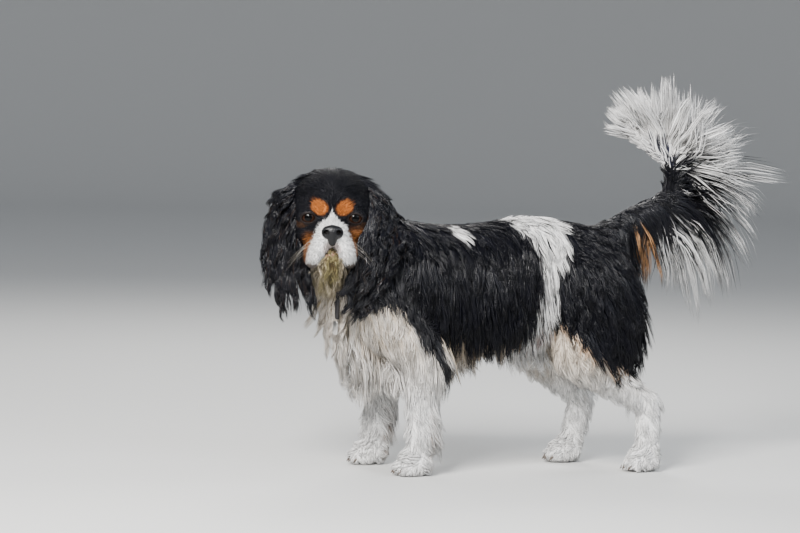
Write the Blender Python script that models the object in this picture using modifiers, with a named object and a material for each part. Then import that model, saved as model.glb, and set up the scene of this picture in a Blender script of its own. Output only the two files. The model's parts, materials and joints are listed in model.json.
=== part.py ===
"""A cavalier king charles spaniel, life size, standing with its head turned to its left and its tail up.

The dog faces -Y, +X is its left side, +Z is up, and its paws stand on Z = 0. The flesh is a set of
named balls and limbs that melt into one another. It is made whole and parted with thin cuts, and the
long coat is added to each piece as tapered locks that follow its lie. All lengths are in metres.
"""

import math
import random
from collections import namedtuple

import bmesh
import bpy
import numpy as np
from mathutils import Euler, Matrix, Vector

# ---------------------------------------------------------------- driving sizes

GAP = 0.0003  # between pieces that touch
COAT = 0.004  # depth of the short coat that the solids have over the skin
FACE_COAT = 0.0012  # and on the face

BACK_HEIGHT = 0.317  # floor to the skin of the back
CHEST_FLOOR = 0.150  # floor to the skin of the brisket
CHEST_HALF_WIDTH = 0.070
CHEST_FRONT_Y = -0.224
RUMP_Y = 0.176
FORE_STANCE_X = 0.057  # middle line of the body to each fore leg
HIND_STANCE_X = 0.050

HEAD_CENTRE = (0.0237, -0.2332, 0.329)  # between the ears, at the height of the eyes
HEAD_TURN = 78.0  # degrees to the dog's left
EYE_RADIUS = 0.0110
EYE_PLACE = (0.0285, -0.0355, 0.0)  # the left eye, in the head's own frame
NOSE_PLACE = (0.0, -0.0800, -0.0152)

NODE_STEP = 0.0032  # size of the cells that the flesh is first meshed with
HEAD_STEP = 0.0019
SEED = 20

BODY = Matrix.Identity(4)
HEAD = Matrix.Translation(HEAD_CENTRE) @ Matrix.Rotation(math.radians(HEAD_TURN), 4, "Z")

SIDES = {"left": 1, "right": -1}

# ---------------------------------------------------------------- melting forms

Ball = namedtuple("Ball", "place radii melt")
Limb = namedtuple("Limb", "points radii melt")


def ball(centre, radii, turn=(0, 0, 0), melt=0.020, frame=BODY):
    """An ellipsoid with those half-sizes, turned by those degrees, in the body's or the head's frame."""
    turned = Euler([math.radians(angle) for angle in turn])
    place = frame @ Matrix.LocRotScale(Vector(centre), turned, None)
    return Ball(place, np.array(radii, float), melt)


def limb(points, radii, melt=0.014, frame=BODY):
    """A chain of round cones through those points."""
    placed = [np.array(frame @ Vector(point)) for point in points]
    return Limb(placed, list(radii), melt)


def ball_pair(centre, radii, turn=(0, 0, 0), **rest):
    """The same ball on both sides of the middle plane of its frame."""
    x, y, z = centre
    made = []
    for side in SIDES.values():
        made.append(ball((side * x, y, z), radii, turn=(turn[0], side * turn[1], side * turn[2]), **rest))
    return made


def distance(form, points):
    """How far each point is outside a form, below zero inside it."""
    if isinstance(form, Ball):
        local = (points - np.array(form.place.translation)) @ np.array(form.place.to_3x3())
        share = np.linalg.norm(local / form.radii, axis=1)
        slope = np.linalg.norm(local / form.radii**2, axis=1)
        return share * (share - 1) / np.maximum(slope, 1e-9)
    found = np.full(len(points), np.inf)
    ends = zip(form.points[:-1], form.points[1:], form.radii[:-1], form.radii[1:])
    for start, end, first, last in ends:
        run = end - start
        along = np.clip((points - start) @ run / (run @ run), 0, 1)[:, None]
        near = np.linalg.norm(points - start - along * run, axis=1)
        found = np.minimum(found, near - (first + along[:, 0] * (last - first)))
    return found


def melted_in(whole, other, melt):
    """Two fields melted into one over that length."""
    share = np.clip(0.5 + 0.5 * (other - whole) / melt, 0, 1)
    return other + (whole - other) * share - melt * share * (1 - share)


def melted(forms, points):
    """The distance to all the forms together, each melted into those before it over its melt length."""
    whole = distance(forms[0], points)
    for form in forms[1:]:
        whole = melted_in(whole, distance(form, points), form.melt)
    return whole


def slope_of(field, points, step=0.0004):
    """The direction in which a field grows fastest, by central differences."""
    found = []
    for axis in np.eye(3) * step:
        found.append((field(points + axis) - field(points - axis)) / (2 * step))
    return np.stack(found, axis=1)


def pulled(points, field, level, rounds=6):
    """The points moved onto the surface where the field has that level."""
    for _ in range(rounds):
        slope = slope_of(field, points)
        steepness = np.maximum((slope**2).sum(axis=1), 0.05)
        step = np.clip((field(points) - level) / steepness, -0.004, 0.004)
        points = points - step[:, None] * slope
    return points


# ---------------------------------------------------------------- the dog's forms


def trunk_forms():
    """Chest, loin, hips and neck."""
    depth = BACK_HEIGHT - CHEST_FLOOR
    rib_z = CHEST_FLOOR + depth / 2
    forms = [
        ball((0, -0.085, rib_z), (CHEST_HALF_WIDTH, 0.120, depth / 2)),
        ball((0, CHEST_FRONT_Y + 0.056, 0.218), (0.056, 0.056, 0.064)),
        ball((0, 0.038, BACK_HEIGHT - 0.052), (0.058, 0.100, 0.064), melt=0.036),
        ball((0, -0.020, 0.212), (0.056, 0.100, 0.054), melt=0.03),
        ball((0, RUMP_Y - 0.062, BACK_HEIGHT - 0.069), (0.056, 0.066, 0.062), melt=0.03),
    ]
    forms += ball_pair((0.033, -0.125, 0.254), (0.036, 0.058, 0.058), melt=0.03)
    forms.append(neck_form())
    forms.append(ball((0, 0.036, 0.176), (0.012, 0.034, 0.014), turn=(-14, 0, 0), melt=0.014))
    return forms


def neck_form():
    points = [(0, -0.148, 0.254), (0.002, -0.184, 0.284), (0.006, -0.214, 0.320)]
    return limb(points, (0.058, 0.053, 0.047), melt=0.03)


# The joints of each leg as (y, z), on the dog's left and right.
FORE_LEGS = {
    "left": {"elbow": (-0.112, 0.150), "wrist": (-0.116, 0.055), "pastern": (-0.119, 0.030), "paw": -0.125},
    "right": {"elbow": (-0.130, 0.150), "wrist": (-0.147, 0.055), "pastern": (-0.149, 0.030), "paw": -0.155},
}
HIND_LEGS = {
    "left": {"hip": 0.118, "knee": (0.090, 0.152), "hock": (0.190, 0.090), "foot": (0.191, 0.034), "paw": 0.186},
    "right": {"hip": 0.106, "knee": (0.062, 0.152), "hock": (0.132, 0.088), "foot": (0.121, 0.034), "paw": 0.111},
}
TOE_SPREAD = 0.0120  # middle of the paw to the middle of an outer toe
TOE_RADIUS = 0.0080


TOES = (-1, -1 / 3, 1 / 3, 1)  # the place of each toe across the paw, as a share of the spread


def toe_y(paw_y, share):
    """How far forward a toe stands: the inner two lead."""
    return paw_y - 0.0165 + 0.0055 * share**2


def paw_forms(x, y):
    """A paw with four toes, its middle at that place."""
    forms = [ball((x, y, 0.0165), (0.0175, 0.0210, 0.0150), melt=0.008)]
    for share in TOES:
        toe = (x + TOE_SPREAD * share, toe_y(y, share), 0.0105)
        forms.append(ball(toe, (TOE_RADIUS * 0.8, 0.0100, TOE_RADIUS), melt=0.0025))
    return forms


def fore_leg_forms(side):
    """Shoulder blade, upper arm, forearm and paw."""
    x, leg = FORE_STANCE_X * SIDES[side], FORE_LEGS[side]
    inner = 0.92 * x
    elbow_y, wrist_y = leg["elbow"][0], leg["wrist"][0]
    shoulder = (0.84 * x, elbow_y - 0.062, 0.214)
    arm = [shoulder, (x, elbow_y - 0.022, 0.176), (x, *leg["elbow"])]
    forearm = [(x, *leg["elbow"]), (inner, (elbow_y + wrist_y) / 2 - 0.002, 0.104), (x, *leg["wrist"])]
    pastern = [(x, *leg["wrist"]), (x, *leg["pastern"]), (x, leg["paw"] + 0.004, 0.020)]
    forms = [
        limb(arm, (0.034, 0.031, 0.026), melt=0.026),
        limb(forearm, (0.0240, 0.0195, 0.0165), melt=0.016),
        limb(pastern, (0.0165, 0.0155, 0.0150), melt=0.006),
    ]
    return forms + paw_forms(x, leg["paw"])


def hind_leg_forms(side):
    """Thigh, shank, hock, hind foot and paw."""
    x, leg = HIND_STANCE_X * SIDES[side], HIND_LEGS[side]
    knee_y, knee_z = leg["knee"]
    hock_y, hock_z = leg["hock"]
    middle = (x, knee_y + 0.48 * (hock_y - knee_y), knee_z + 0.52 * (hock_z - knee_z))
    shank = [(1.06 * x, knee_y + 0.008, knee_z), middle, (x, hock_y - 0.002, hock_z)]
    foot = [(x, hock_y, hock_z), (x, *leg["foot"]), (x, leg["paw"] + 0.004, 0.020)]
    forms = [
        ball((0.92 * x, leg["hip"], 0.205), (0.034, 0.056, 0.078), turn=(14, 0, 0), melt=0.028),
        ball((1.06 * x, knee_y + 0.006, knee_z + 0.008), (0.026, 0.030, 0.034), melt=0.02),
        limb(shank, (0.0270, 0.0205, 0.0140), melt=0.016),
        limb(foot, (0.0150, 0.0135, 0.0140), melt=0.006),
    ]
    return forms + paw_forms(x, leg["paw"])


# The middle line of the tail as (y, z), from its root to its tip, and its radius there.
TAIL_LINE = [
    (0.137, 0.290, 0.024),
    (0.174, 0.3215, 0.0165),
    (0.206, 0.3380, 0.0135),
    (0.232, 0.356, 0.0115),
    (0.2385, 0.382, 0.0100),
    (0.232, 0.402, 0.0088),
    (0.213, 0.418, 0.0075),
    (0.1925, 0.431, 0.0055),
]


def tail_forms():
    points = [(0, y, z) for y, z, _ in TAIL_LINE]
    return [limb(points, [radius for _, _, radius in TAIL_LINE], melt=0.02)]


def skull_forms():
    """Skull, brows, cheeks, muzzle and the hanging upper lips, in the head's frame."""
    head = {"frame": HEAD}
    forms = [
        ball((0, 0.006, 0.018), (0.046, 0.054, 0.040), melt=0.03, **head),
        ball((0, -0.018, 0.020), (0.038, 0.030, 0.030), melt=0.014, **head),
        ball((0, 0.006, -0.020), (0.042, 0.044, 0.034), melt=0.02, **head),
        ball((0, 0.000, -0.046), (0.030, 0.044, 0.022), melt=0.02, **head),
        ball((0, -0.048, -0.0180), (0.0215, 0.036, 0.0175), melt=0.014, **head),
    ]
    forms += ball_pair((0.0245, -0.0245, 0.004), (0.0155, 0.0165, 0.0150), melt=0.012, **head)
    forms += ball_pair((0.0280, -0.0280, -0.018), (0.0140, 0.0150, 0.0120), melt=0.012, **head)
    forms += ball_pair(
        (0.0158, -0.0560, -0.0355), (0.0112, 0.0230, 0.0235), turn=(0, -18, 0), melt=0.007, **head
    )
    forms += ball_pair(
        (0.0215, -0.0380, -0.0430), (0.0098, 0.0230, 0.0165), turn=(0, -10, 0), melt=0.010, **head
    )
    return forms


def jaw_forms():
    """The lower jaw and the chin, in the head's frame."""
    chin = [(0, -0.058, -0.0530), (0, -0.030, -0.0565), (0, 0.002, -0.0555)]
    return [
        limb(chin, (0.0105, 0.0150, 0.0240), frame=HEAD),
        ball((0, -0.0560, -0.0500), (0.0125, 0.0160, 0.0120), melt=0.008, frame=HEAD),
    ]


def nose_forms():
    """The bare nose: a pad, its two wings and the short stem below it, in the head's frame."""
    x, y, z = NOSE_PLACE
    forms = [ball((x, y, z), (0.0118, 0.0078, 0.0088), melt=0.003, frame=HEAD)]
    forms += ball_pair((0.0078, y + 0.001, z - 0.0010), (0.0058, 0.0070, 0.0072), melt=0.003, frame=HEAD)
    forms.append(ball((x, y + 0.001, z - 0.0100), (0.0045, 0.0058, 0.0075), melt=0.003, frame=HEAD))
    return forms


def lid_forms():
    """The rim of lids round each eye, in the head's frame."""
    x, y, z = EYE_PLACE
    rim = EYE_RADIUS + 0.0022
    return ball_pair((x, y, z), (rim, rim, rim), melt=0.004, frame=HEAD)


def eye_openings():
    """The almond gap between the lids of each eye, which shows the eyeball."""
    x, y, z = EYE_PLACE
    made = []
    for side in SIDES.values():
        centre = (side * (x + 0.0012), y - EYE_RADIUS, z - 0.0003)
        made.append(ball(centre, (0.0092, 0.0100, 0.0068), turn=(0, side * 7, side * 14), frame=HEAD))
    return made


def body_forms():
    forms = trunk_forms()
    for side in SIDES:
        forms += fore_leg_forms(side) + hind_leg_forms(side)
    return forms + tail_forms()


BODY_FORMS = body_forms()
SKULL_FORMS = skull_forms()
JAW_FORMS = jaw_forms()
NOSE_FORMS = nose_forms()
LID_FORMS = lid_forms()
EYE_OPENINGS = eye_openings()
NECK_MELT = 0.022


def whole_field(points):
    """Body and skull with its lids melted together, with no lower jaw."""
    skull = melted(SKULL_FORMS + LID_FORMS, points)
    return melted_in(melted(BODY_FORMS, points), skull, NECK_MELT)


# ---------------------------------------------------------------- meshes from forms


class Scene:
    """The collections that the script fills."""

    dog = None
    cutters = None


def start_scene():
    """An empty scene with a collection for the dog and one for what cuts it."""
    for obj in list(bpy.data.objects):
        bpy.data.objects.remove(obj)
    Scene.dog = bpy.data.collections.new("spaniel")
    Scene.cutters = bpy.data.collections.new("cutters")
    for collection in (Scene.dog, Scene.cutters):
        bpy.context.scene.collection.children.link(collection)


def new_object(name, mesh, collection=None):
    """A visible piece of the dog, or with a collection given, a cutter or guide."""
    obj = bpy.data.objects.new(name, mesh)
    (collection or Scene.dog).objects.link(obj)
    if collection:
        obj.hide_render = True
        obj.display_type = "WIRE"
    return obj


def drop(obj):
    mesh = obj.data
    bpy.data.objects.remove(obj)
    if mesh.users == 0:
        bpy.data.meshes.remove(mesh)


def copy_of(obj, name, collection=None):
    return new_object(name, obj.data.copy(), collection)


def apply_modifiers(obj):
    graph = bpy.context.evaluated_depsgraph_get()
    mesh = bpy.data.meshes.new_from_object(obj.evaluated_get(graph))
    obj.modifiers.clear()
    old, obj.data = obj.data, mesh
    bpy.data.meshes.remove(old)
    return obj


def rough_mesh(name, forms, grow):
    """The forms as plain spheres and cones in one mesh, a first shape for the remesher."""
    bm = bmesh.new()
    for form in forms:
        if isinstance(form, Ball):
            size = Matrix.Diagonal((*(form.radii + grow), 1))
            bmesh.ops.create_uvsphere(bm, u_segments=24, v_segments=16, radius=1, matrix=form.place @ size)
            continue
        for point, radius in zip(form.points, form.radii):
            spot = Matrix.Translation(point)
            bmesh.ops.create_uvsphere(bm, u_segments=20, v_segments=14, radius=radius + grow, matrix=spot)
        pairs = zip(form.points[:-1], form.points[1:], form.radii[:-1], form.radii[1:])
        for start, end, first, last in pairs:
            run = Vector(end - start)
            turn = run.to_track_quat("Z", "Y").to_matrix().to_4x4()
            bmesh.ops.create_cone(
                bm,
                cap_ends=True,
                segments=20,
                radius1=first + grow,
                radius2=last + grow,
                depth=run.length,
                matrix=Matrix.Translation((start + end) / 2) @ turn,
            )
    mesh = bpy.data.meshes.new(name)
    bm.to_mesh(mesh)
    bm.free()
    return mesh


def thinned(obj, triangles):
    """Decimates a mesh down to about that many triangles."""
    obj.data.calc_loop_triangles()
    thin = obj.modifiers.new("fewer faces", "DECIMATE")
    thin.ratio = min(1.0, triangles / len(obj.data.loop_triangles))
    thin.use_collapse_triangulate = True
    return apply_modifiers(obj)


def flesh(name, forms, field, step, triangles, collection=None, grow=COAT):
    """One closed mesh of melted forms: remeshed, pulled onto the field's zero and thinned."""
    obj = new_object(name, rough_mesh(name, forms, grow), collection)
    remesh = obj.modifiers.new("one skin", "REMESH")
    remesh.mode = "VOXEL"
    remesh.voxel_size = step
    apply_modifiers(obj)
    thinned(obj, 5 * triangles)
    mesh = obj.data
    points = np.empty(len(mesh.vertices) * 3)
    mesh.vertices.foreach_get("co", points)
    points = pulled(points.reshape(-1, 3), field, 0.0, rounds=4)
    mesh.vertices.foreach_set("co", points.ravel())
    mesh.update()
    return keep_largest(thinned(obj, triangles))


def islands_of(bm):
    """The faces of a mesh, grouped into its connected surfaces."""
    unseen = set(bm.faces)
    islands = []
    while unseen:
        front = [unseen.pop()]
        island = set(front)
        while front:
            for edge in front.pop().edges:
                for face in edge.link_faces:
                    if face in unseen:
                        unseen.remove(face)
                        island.add(face)
                        front.append(face)
        islands.append(island)
    return islands


WELD = 0.000002  # points closer than this are made one, and shorter edges are closed up


def keep_largest(obj):
    """Drops every closed surface of a mesh but the largest."""
    bm = bmesh.new()
    bm.from_mesh(obj.data)
    bmesh.ops.remove_doubles(bm, verts=bm.verts, dist=WELD)
    bmesh.ops.dissolve_degenerate(bm, edges=bm.edges, dist=WELD)
    islands = sorted(islands_of(bm), key=lambda island: sum(face.calc_area() for face in island))
    scraps = [face for island in islands[:-1] for face in island]
    bmesh.ops.delete(bm, geom=scraps, context="FACES")
    bmesh.ops.triangulate(bm, faces=bm.faces)
    bm.to_mesh(obj.data)
    bm.free()
    return obj


def boolean(obj, others, operation):
    """Joins, cuts or crosses an object with others, which are then removed."""
    collection = bpy.data.collections.new("pieces")
    bpy.context.scene.collection.children.link(collection)
    for other in others:
        for home in list(other.users_collection):
            home.objects.unlink(other)
        collection.objects.link(other)
    modifier = obj.modifiers.new(operation.lower(), "BOOLEAN")
    modifier.operation = operation
    modifier.operand_type = "COLLECTION"
    modifier.collection = collection
    modifier.solver = "MANIFOLD"
    apply_modifiers(obj)
    for other in others:
        drop(other)
    bpy.data.collections.remove(collection)
    return obj


def grown(obj, amount):
    """A cutter a little larger than a piece, each point moved out along its normal."""
    cutter = copy_of(obj, obj.name + " room", Scene.cutters)
    normals = [vert.normal.copy() for vert in cutter.data.vertices]
    for vert, normal in zip(cutter.data.vertices, normals):
        vert.co += normal * amount
    return cutter


def cell(name, planes, grow=0.0):
    """The space behind a set of planes, each a point and the direction that leaves the space."""
    bm = bmesh.new()
    bmesh.ops.create_cube(bm, size=2.0)
    for point, away in planes:
        away = Vector(away).normalized()
        everything = bm.verts[:] + bm.edges[:] + bm.faces[:]
        moved = Vector(point) + away * grow
        cut = bmesh.ops.bisect_plane(bm, geom=everything, plane_co=moved, plane_no=away, clear_outer=True)
        edges = [item for item in cut["geom_cut"] if isinstance(item, bmesh.types.BMEdge)]
        bmesh.ops.contextual_create(bm, geom=edges)
    bmesh.ops.recalc_face_normals(bm, faces=bm.faces)
    bmesh.ops.triangulate(bm, faces=bm.faces)
    mesh = bpy.data.meshes.new(name)
    bm.to_mesh(mesh)
    bm.free()
    return new_object(name, mesh, Scene.cutters)


def sphere_cutter(name, place, radii, segments=16, rings=12):
    """An ellipsoid to cut with, in the frame of its place matrix."""
    bm = bmesh.new()
    size = Matrix.Diagonal((*radii, 1))
    bmesh.ops.create_uvsphere(bm, u_segments=segments, v_segments=rings, radius=1, matrix=place @ size)
    mesh = bpy.data.meshes.new(name)
    bm.to_mesh(mesh)
    bm.free()
    return new_object(name, mesh, Scene.cutters)


def loft(name, rings, collection=None, tip=None):
    """A closed solid through rings of as many points each, ended flat or in a tip."""
    bm = bmesh.new()
    loops = [[bm.verts.new(point) for point in ring] for ring in rings]
    for near, far in zip(loops[:-1], loops[1:]):
        for i in range(len(near)):
            j = (i + 1) % len(near)
            bm.faces.new((near[i], near[j], far[j], far[i]))
    bm.faces.new(loops[0][::-1])
    if tip is None:
        bm.faces.new(loops[-1])
    else:
        apex = bm.verts.new(tip)
        for i in range(len(loops[-1])):
            bm.faces.new((loops[-1][i], loops[-1][(i + 1) % len(loops[-1])], apex))
    bmesh.ops.recalc_face_normals(bm, faces=bm.faces)
    bmesh.ops.triangulate(bm, faces=bm.faces)
    mesh = bpy.data.meshes.new(name)
    bm.to_mesh(mesh)
    bm.free()
    return new_object(name, mesh, collection)


# ---------------------------------------------------------------- where the flesh is parted

ELBOW_CUT_Z = 0.146
WRIST_CUT_Z = 0.047


def fore_cells(side):
    """The cells of a fore leg and its paw."""
    x, leg = SIDES[side], FORE_LEGS[side]
    ankle = (0, leg["wrist"][0], WRIST_CUT_Z)
    own = [((0.008 * x, 0, 0), (-x, 0, 0)), ((0, -0.060, 0), (0, 1, 0))]
    return {
        f"fore_leg_{side}": own + [((0, 0, ELBOW_CUT_Z), (0, 0, 1)), (ankle, (0, 0, -1))],
        f"fore_paw_{side}": own + [(ankle, (0, 0, 1))],
    }


def hind_cells(side):
    """The cells of a thigh, a shank, and a hind foot with its paw."""
    x, leg = SIDES[side], HIND_LEGS[side]
    knee, hock = Vector((0, *leg["knee"])), Vector((0, *leg["hock"]))
    shank = (hock - knee).normalized()
    below_knee = (knee + 0.026 * shank, Vector((0, 0.35, -0.94)).normalized())
    above_hock = (hock - 0.020 * shank, shank)
    own = [((0.008 * x, 0, 0), (-x, 0, 0)), ((0, 0.020, 0), (0, -1, 0))]
    thigh = [
        ((0.026 * x, 0, 0.150), (-x, 0, 0.12)),
        ((0, leg["hip"] - 0.058, 0.200), (0, -1, 0.18)),
        ((0, 0, 0.262), (0, 0.18, 1)),
    ]
    return {
        f"thigh_{side}": own + thigh + [below_knee],
        f"shank_{side}": own + [(below_knee[0], -below_knee[1]), above_hock],
        f"hind_foot_{side}": own + [(above_hock[0], -above_hock[1]), ((0, 0, 0.125), (0, 0, 1))],
    }


# The lie of the plume at each point of the tail's line: degrees up from straight back.
TAIL_LIE = [-72, -58, -38, -8, 22, 48, 78, 125]


def tail_cut(index, share):
    """A cut across the tail that holds the lie of its coat, and its normal towards the tip."""
    start, end = (Vector((0, *TAIL_LINE[i][:2])) for i in (index, index + 1))
    lie = math.radians(TAIL_LIE[index] + share * (TAIL_LIE[index + 1] - TAIL_LIE[index]))
    return start.lerp(end, share), Vector((0, -math.sin(lie), math.cos(lie)))


def tail_cells():
    """Three lengths of the tail."""
    root, first, second = tail_cut(0, 0.62), tail_cut(2, 0.5), tail_cut(4, 0.5)
    return {
        "tail_base": [(root[0], -root[1]), first],
        "tail_middle": [(first[0], -first[1]), second, ((0, 0.100, 0), (0, -1, 0))],
        "tail_tip": [(second[0], -second[1]), ((0, 0.080, 0), (0, -1, 0)), ((0, 0, 0.350), (0, 0, -1))],
    }


NECK_LOW = (Vector((0, -0.140, 0.280)), Vector((0, -0.84, 0.54)).normalized())
NECK_HIGH = (Vector((0.010, -0.200, 0.305)), Vector((0.30, -0.55, 0.78)).normalized())


def front_cells():
    """The neck, between the withers and the skull, and the head before it."""
    return {
        "neck": [(NECK_LOW[0], -NECK_LOW[1]), NECK_HIGH, ((0, 0, ELBOW_CUT_Z), (0, 0, -1))],
        "head": [(NECK_HIGH[0], -NECK_HIGH[1]), ((0, -0.120, 0), (0, 1, 0))],
    }


def all_cells():
    cells = front_cells()
    for side in SIDES:
        cells.update(fore_cells(side))
        cells.update(hind_cells(side))
    cells.update(tail_cells())
    return cells


# ---------------------------------------------------------------- the flesh and its parts

FLESH_TRIANGLES = 2800
HEAD_TRIANGLES = 1600


def coat_depth(points):
    """How far the solids stand out over the skin: least on the face."""
    local = (points - np.array(HEAD.translation)) @ np.array(HEAD.to_3x3())
    away = np.linalg.norm(local - (0, -0.040, -0.010), axis=1)
    share = np.clip((away - 0.062) / 0.040, 0, 1)
    return FACE_COAT + (COAT - FACE_COAT) * share


def coated(points):
    """The whole dog with its short coat."""
    return whole_field(points) - coat_depth(points)


def part_flesh(whole):
    """The whole body cut into its named pieces, with what is left as the torso."""
    floor = ((0, 0, 0), (0, 0, -1))
    boolean(whole, [cell("floor", [floor])], "INTERSECT")
    pieces, rest = {}, []
    for name, planes in all_cells().items():
        piece = copy_of(whole, name)
        boolean(piece, [cell(name + " cell", planes, grow=-GAP / 2)], "INTERSECT")
        pieces[name] = keep_largest(piece)
        rest.append(cell(name + " room", planes, grow=GAP / 2))
    pieces["torso"] = whole
    whole.name = "torso"
    for room in rest:
        boolean(whole, [room], "DIFFERENCE")
    keep_largest(whole)
    return pieces


# ---------------------------------------------------------------- the head

CUT_ROOM = 0.0005  # kept round a curved piece that another is cut clear of

EYE_SEGMENTS, EYE_RINGS = 14, 8
MOUTH_GAP = 0.0010  # the dark line between the lips


def head_place(x, y, z, turn=(0, 0, 0)):
    """A place in the head's own frame, turned by those degrees."""
    turned = Euler([math.radians(angle) for angle in turn])
    return HEAD @ Matrix.LocRotScale(Vector((x, y, z)), turned, None)


def eye_place(side):
    x, y, z = EYE_PLACE
    return head_place(SIDES[side] * x, y, z)


def nose():
    """The nose pad with two comma-shaped nostrils."""
    pad = flesh("nose", NOSE_FORMS, lambda points: melted(NOSE_FORMS, points), 0.0011, 240, grow=0)
    x, y, z = NOSE_PLACE
    cutters = []
    for side in SIDES.values():
        hole = head_place(side * 0.0048, y - 0.0085, z + 0.0008, (20, 0, side * 20))
        cutters.append(sphere_cutter("nostril", hole, (0.0024, 0.0050, 0.0026), 6, 4))
        slit = head_place(side * 0.0090, y - 0.0050, z - 0.0012, (0, side * -18, side * 42))
        cutters.append(sphere_cutter("slit", slit, (0.0042, 0.0040, 0.0010), 6, 4))
    return keep_largest(boolean(pad, cutters, "DIFFERENCE"))


def head(nose_piece, jaw_piece):
    """Skull, upper jaw and lids, with the sockets, the lids' gaps, and room for nose and lower jaw."""
    forms = SKULL_FORMS + LID_FORMS + [neck_form()]
    skull = flesh("head", forms, coated, HEAD_STEP, HEAD_TRIANGLES)
    boolean(skull, [cell("head cell", front_cells()["head"], grow=-GAP / 2)], "INTERSECT")
    cutters = [grown(nose_piece, 1.3 * GAP), grown(jaw_piece, MOUTH_GAP)]
    for side, opening in zip(SIDES, EYE_OPENINGS):
        socket = [EYE_RADIUS + GAP] * 3
        cutters.append(sphere_cutter("socket", eye_place(side), socket, EYE_SEGMENTS, EYE_RINGS))
        cutters.append(sphere_cutter("lid gap", opening.place, opening.radii, 14, 8))
    for cutter in cutters:
        boolean(skull, [cutter], "DIFFERENCE")
    return keep_largest(skull)


def lower_jaw():
    """The chin and lower jaw, which meets the upper lips along the line of the mouth."""
    jaw = flesh("lower_jaw", JAW_FORMS, lambda points: melted(JAW_FORMS, points), 0.0016, 300, grow=0)
    boolean(jaw, [cell("jaw cell", front_cells()["head"], grow=-GAP / 2)], "INTERSECT")
    return keep_largest(jaw)


def eye(side):
    """An eyeball, as large as its socket but for the gap."""
    model = sphere_cutter("eye", eye_place(side), [EYE_RADIUS] * 3, EYE_SEGMENTS, EYE_RINGS)
    made = copy_of(model, f"eye_{side}")
    drop(model)
    return keep_largest(made)


# ---------------------------------------------------------------- ears and locks

# Each ear's flap in the head's frame, for the left: middle of the flap, half width, half thickness.
EAR_FLAP = [
    ((0.040, 0.012, 0.036), 0.0120, 0.0035),
    ((0.053, 0.008, 0.040), 0.0200, 0.0036),
    ((0.0650, 0.004, 0.024), 0.0250, 0.0034),
    ((0.0700, 0.000, -0.010), 0.0275, 0.0032),
    ((0.0700, -0.002, -0.045), 0.0260, 0.0030),
    ((0.0680, -0.004, -0.074), 0.0150, 0.0026),
]
EAR_CUP = 0.0045  # how far the flap's edges turn in towards the head
EAR_ROOM = 0.0050  # least distance from the flap's middle to the flesh below it
FLAP_SIDES = 8


def unit(rows):
    return rows / np.maximum(np.linalg.norm(rows, axis=-1, keepdims=True), 1e-9)


def cleared(points, least):
    """The points moved out of the flesh until each is at least that far from it."""
    for _ in range(5):
        normal = unit(slope_of(coated, points))
        short = np.maximum(least - coated(points), 0)
        points = points + normal * short[:, None]
    return points


def ear_frame(side):
    """The flap's middle line, its way down, its width direction and its outward normal."""
    points = [HEAD @ Vector((SIDES[side] * x, y, z)) for (x, y, z), _, _ in EAR_FLAP]
    points = np.array(points)
    points[2:] = cleared(points[2:], EAR_ROOM)
    ways = unit(np.gradient(points, axis=0))
    outward = np.array(HEAD.to_3x3() @ Vector((1.4 * SIDES[side], -2.2, 0.4)))
    normals = unit(slope_of(coated, points) + outward)
    normals = unit(normals - (normals * ways).sum(axis=1)[:, None] * ways)
    return points, ways, np.cross(ways, normals), normals


def ear_flap(side, grow=0.0):
    """The leather of an ear, its edges cupped in towards the head."""
    points, _, across, normals = ear_frame(side)
    rings = []
    for i, (_, half_width, half_depth) in enumerate(EAR_FLAP):
        ring = []
        for turn in np.arange(FLAP_SIDES) * 2 * math.pi / FLAP_SIDES:
            wide = (half_width + grow) * math.cos(turn)
            deep = (half_depth + grow) * math.sin(turn) - EAR_CUP * math.cos(turn) ** 2
            ring.append(points[i] + wide * across[i] + deep * normals[i])
        rings.append(ring)
    return loft(f"ear_{side}", rings, Scene.cutters if grow else None)


Lock = namedtuple("Lock", "points across normals half_widths half_depths")

# The width and depth of a lock along its length, as shares of the largest.
LOCK_SHAPE = [(0.80, 1.0), (1.0, 1.0), (0.66, 0.8)]
LOCK_DEPTH = 0.30  # half depth of a lock as a share of its half width


def comb(roots, ways, length, width, rng, lift=0.0025, droop=0.5, wave=0.10, sink=0.003, shape=LOCK_SHAPE,
         facing=None):
    """Locks that leave their roots along the given ways, droop, wave, and stay outside the flesh.

    Their flat sides lie along the flesh, or face the way that is given.
    """
    points = np.array(roots, float)
    ways = unit(np.array(ways, float))
    count, steps = len(points), len(shape)
    lengths = np.array([rng.uniform(0.86, 1.14) for _ in range(count)]) * length
    sway = np.array([rng.uniform(-1, 1) for _ in range(count)])
    normals = unit(slope_of(coated, points))
    path, outward = [points - sink * normals], [normals]
    for step in range(1, steps + 1):
        ways = ways + np.array((0, 0, -droop / steps))
        swing = wave * np.sin(2.4 * step + 3 * sway)
        ways = unit(ways + swing[:, None] * np.cross(ways, normals))
        points = points + ways * (lengths / steps)[:, None]
        normals = unit(slope_of(coated, points))
        short = np.maximum(lift + LOCK_DEPTH * width - coated(points), 0)
        points = points + normals * short[:, None]
        path.append(points)
        outward.append(normals)
    locks = []
    for i in range(count):
        line = np.array([row[i] for row in path])
        along = unit(np.gradient(line, axis=0))
        normal = np.array([row[i] for row in outward]) if facing is None else np.tile(facing, (steps + 1, 1))
        normal = unit(normal - (normal * along).sum(axis=1)[:, None] * along)
        size = width * rng.uniform(0.85, 1.15)
        half_widths = [size * share for share, _ in shape]
        half_depths = [LOCK_DEPTH * size * share for _, share in shape]
        locks.append(Lock(line, np.cross(along, normal), normal, half_widths, half_depths))
    return locks


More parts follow.
